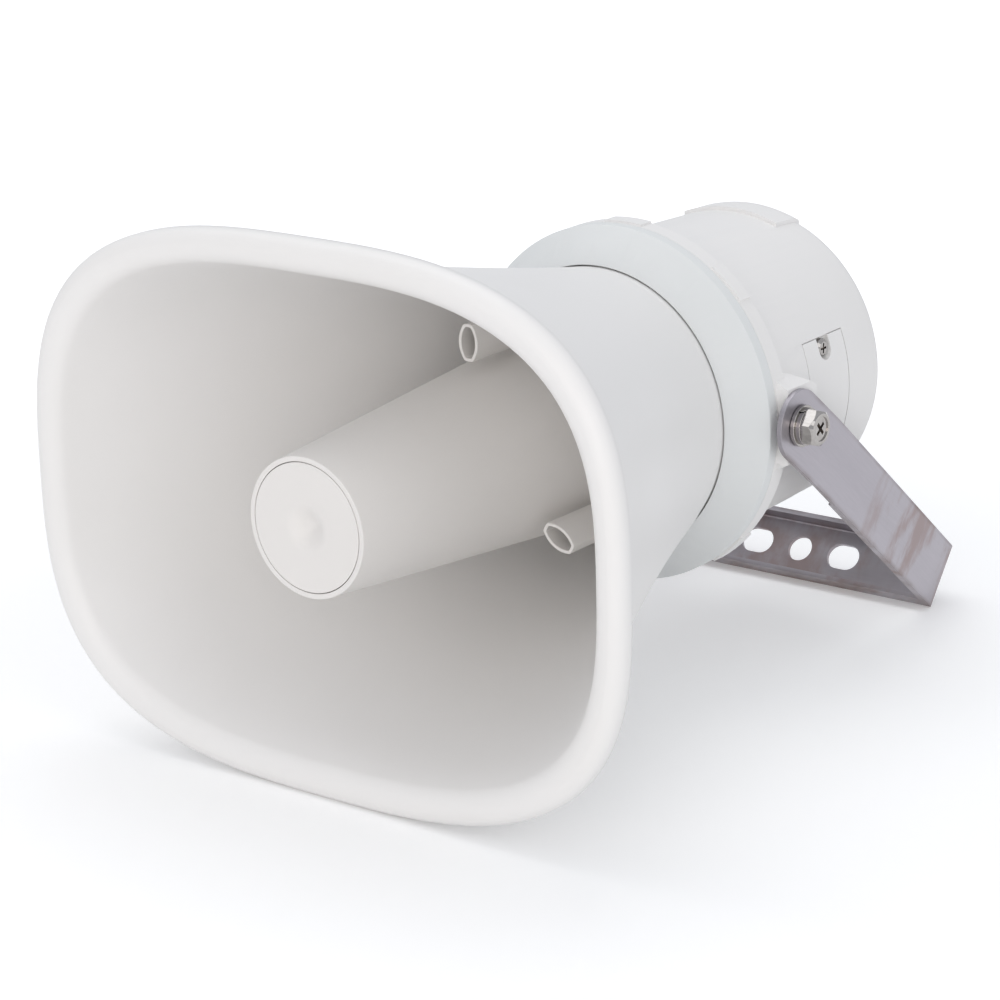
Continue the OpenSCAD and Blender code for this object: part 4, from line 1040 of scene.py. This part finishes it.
    def build(self) -> None:
        """Sets up the whole stage."""
        self.floor()
        self.sky()
        for softbox in self.softboxes:
            softbox.build(Vector(self.aim))
        self.camera()
        bpy.context.scene.view_settings.view_transform = "Standard"


# Finishes of this horn


def make_finishes(kit: ShaderKit, layout: Layout) -> Dict[Slot, bpy.types.Material]:
    """Builds every finish of the horn.

    Args:
        kit: Shared shader groups.
        layout: Where the bracket lies.

    Returns:
        The material of each slot.
    """
    recipes = {
        Slot.SHELL: Moulded("off_white_shell", (0.862, 0.85, 0.837), (0.842, 0.83, 0.812), gloss=0.42,
                            grain_scale=2100.0, grain_depth=0.000016),
        Slot.RING: Moulded("cool_white_ring", (0.78, 0.795, 0.79), (0.758, 0.775, 0.772), gloss=0.4,
                           grain_scale=1700.0, grain_depth=0.00002),
        Slot.INNER: Moulded("warm_white_inner", (0.81, 0.788, 0.763), (0.79, 0.768, 0.743), gloss=0.45,
                            grain_scale=1900.0, grain_depth=0.000018),
        Slot.BRACKET: TarnishedSteel(
            "tarnished_strip", (0.44, 0.418, 0.452), (0.39, 0.37, 0.402), stain=(0.33, 0.25, 0.235),
            rim=(0.22, 0.175, 0.16), origin=tuple(layout.pivot), tilt=layout.bracket_tilt,
            half_width=layout.strip_width / 2, foot_distance=layout.bracket_reach),
        # Painted reflection: the colour of the bolts, washers and cover screw is darkened to stand for
        # the dark surroundings that their mirror-like faces reflect, on top of the metal's own tone and
        # marks.
        Slot.BOLT: WorkedMetal("nickel_painted_dark_reflection", (0.47, 0.45, 0.435), (0.34, 0.32, 0.305), gloss=0.08,
                               gloss_spread=0.04, mark_scale=1100.0, mark_depth=0.000002,
                               stretch=(0.2, 1.0, 1.0)),
        Slot.PLATED: WorkedMetal("zinc_plate", (0.66, 0.67, 0.68), (0.52, 0.52, 0.52), gloss=0.3),
        Slot.RUBBER: Moulded("black_seal_rubber", (0.022, 0.022, 0.022), (0.012, 0.012, 0.012),
                             gloss=0.7, grain_scale=900.0, grain_depth=0.00003),
        Slot.BLACK: Moulded("black_nylon", (0.03, 0.03, 0.031), (0.018, 0.018, 0.018), gloss=0.42,
                            grain_scale=1300.0, grain_depth=0.00002),
        Slot.BRASS: WorkedMetal("turned_brass", (0.78, 0.6, 0.28), (0.6, 0.43, 0.17), gloss=0.25,
                                stretch=(0.1, 1.0, 1.0)),
        Slot.FERRITE: Moulded("dark_ferrite", (0.045, 0.045, 0.05), (0.025, 0.025, 0.028), gloss=0.5,
                              grain_scale=700.0, grain_depth=0.00005),
        Slot.DIE_CAST: Moulded("die_cast_zinc", (0.52, 0.52, 0.53), (0.42, 0.42, 0.43), gloss=0.45,
                               metallic=1.0, grain_scale=600.0, grain_depth=0.00004),
        Slot.LAMINATION: Layered("stacked_sheets", (0.16, 0.15, 0.14), (0.09, 0.08, 0.075),
                                 axis=(0, 1, 0), pitch=1.0 * MM, metallic=0.6, gloss=0.5,
                                 depth=0.06 * MM),
        Slot.COPPER: Layered("enamelled_winding", (0.6, 0.26, 0.11), (0.4, 0.15, 0.06),
                             axis=(0, 1, 0.02), pitch=0.6 * MM, metallic=0.8, gloss=0.3,
                             depth=0.08 * MM),
        Slot.FILM: Moulded("amber_film", (0.62, 0.45, 0.17), (0.5, 0.34, 0.12), gloss=0.25,
                           grain_scale=400.0, grain_depth=0.00001),
    }
    return {slot: recipe.build(kit) for slot, recipe in recipes.items()}


def main() -> None:
    """Builds the stage, the finishes and every sub-assembly in order."""
    layout = Layout()
    Studio().build()
    finishes = make_finishes(ShaderKit(), layout)
    Flare(layout).build(finishes[Slot.SHELL])
    dressings = [
        Dressing(Slot.RING, Body.HORN, ["clamp_ring"], 0.25 * MM),
        Dressing(Slot.SHELL, Body.HORN, ["rear_can", "side_cover"], 0.25 * MM),
        Dressing(Slot.INNER, Body.HORN, ["horn_base", "reflector_tube", "reflector_cap", "tone_arm"],
                 0.2 * MM),
        Dressing(Slot.BRACKET, Body.BRACKET, ["u_bracket"], 0.25 * MM),
        Dressing(Slot.BOLT, Body.HORN, ["bolt_left", "bolt_right", "spring_washer_left",
                                        "spring_washer_right", "flat_washer_left", "flat_washer_right",
                                        "cover_screw"], 0.15 * MM),
        Dressing(Slot.BLACK, Body.HORN, ["gland_body", "gland_nut"], 0.2 * MM),
        Dressing(Slot.RUBBER, Body.HORN, ["gland_seal"], 0.2 * MM),
    ]
    for dressing in dressings:
        dressing.build(finishes[dressing.slot])
    HiddenWorks({
        "neck_gasket": Slot.RUBBER, "cover_gasket": Slot.RUBBER, "base_screws": Slot.PLATED,
        "driver_screws": Slot.PLATED, "throat_plate": Slot.DIE_CAST, "phase_plug": Slot.INNER,
        "diaphragm": Slot.FILM, "voice_coil": Slot.COPPER, "edge_suspension": Slot.FILM,
        "top_plate": Slot.PLATED, "magnet_ring": Slot.FERRITE, "pole_yoke": Slot.PLATED,
        "transformer_core": Slot.LAMINATION, "transformer_winding": Slot.COPPER,
        "transformer_frame": Slot.PLATED, "transformer_screws": Slot.PLATED,
        "terminal_block": Slot.BLACK, "terminal_screws": Slot.PLATED,
        "insert_left": Slot.BRASS, "insert_right": Slot.BRASS,
    }).build(finishes)


if __name__ == "__main__":
    main()
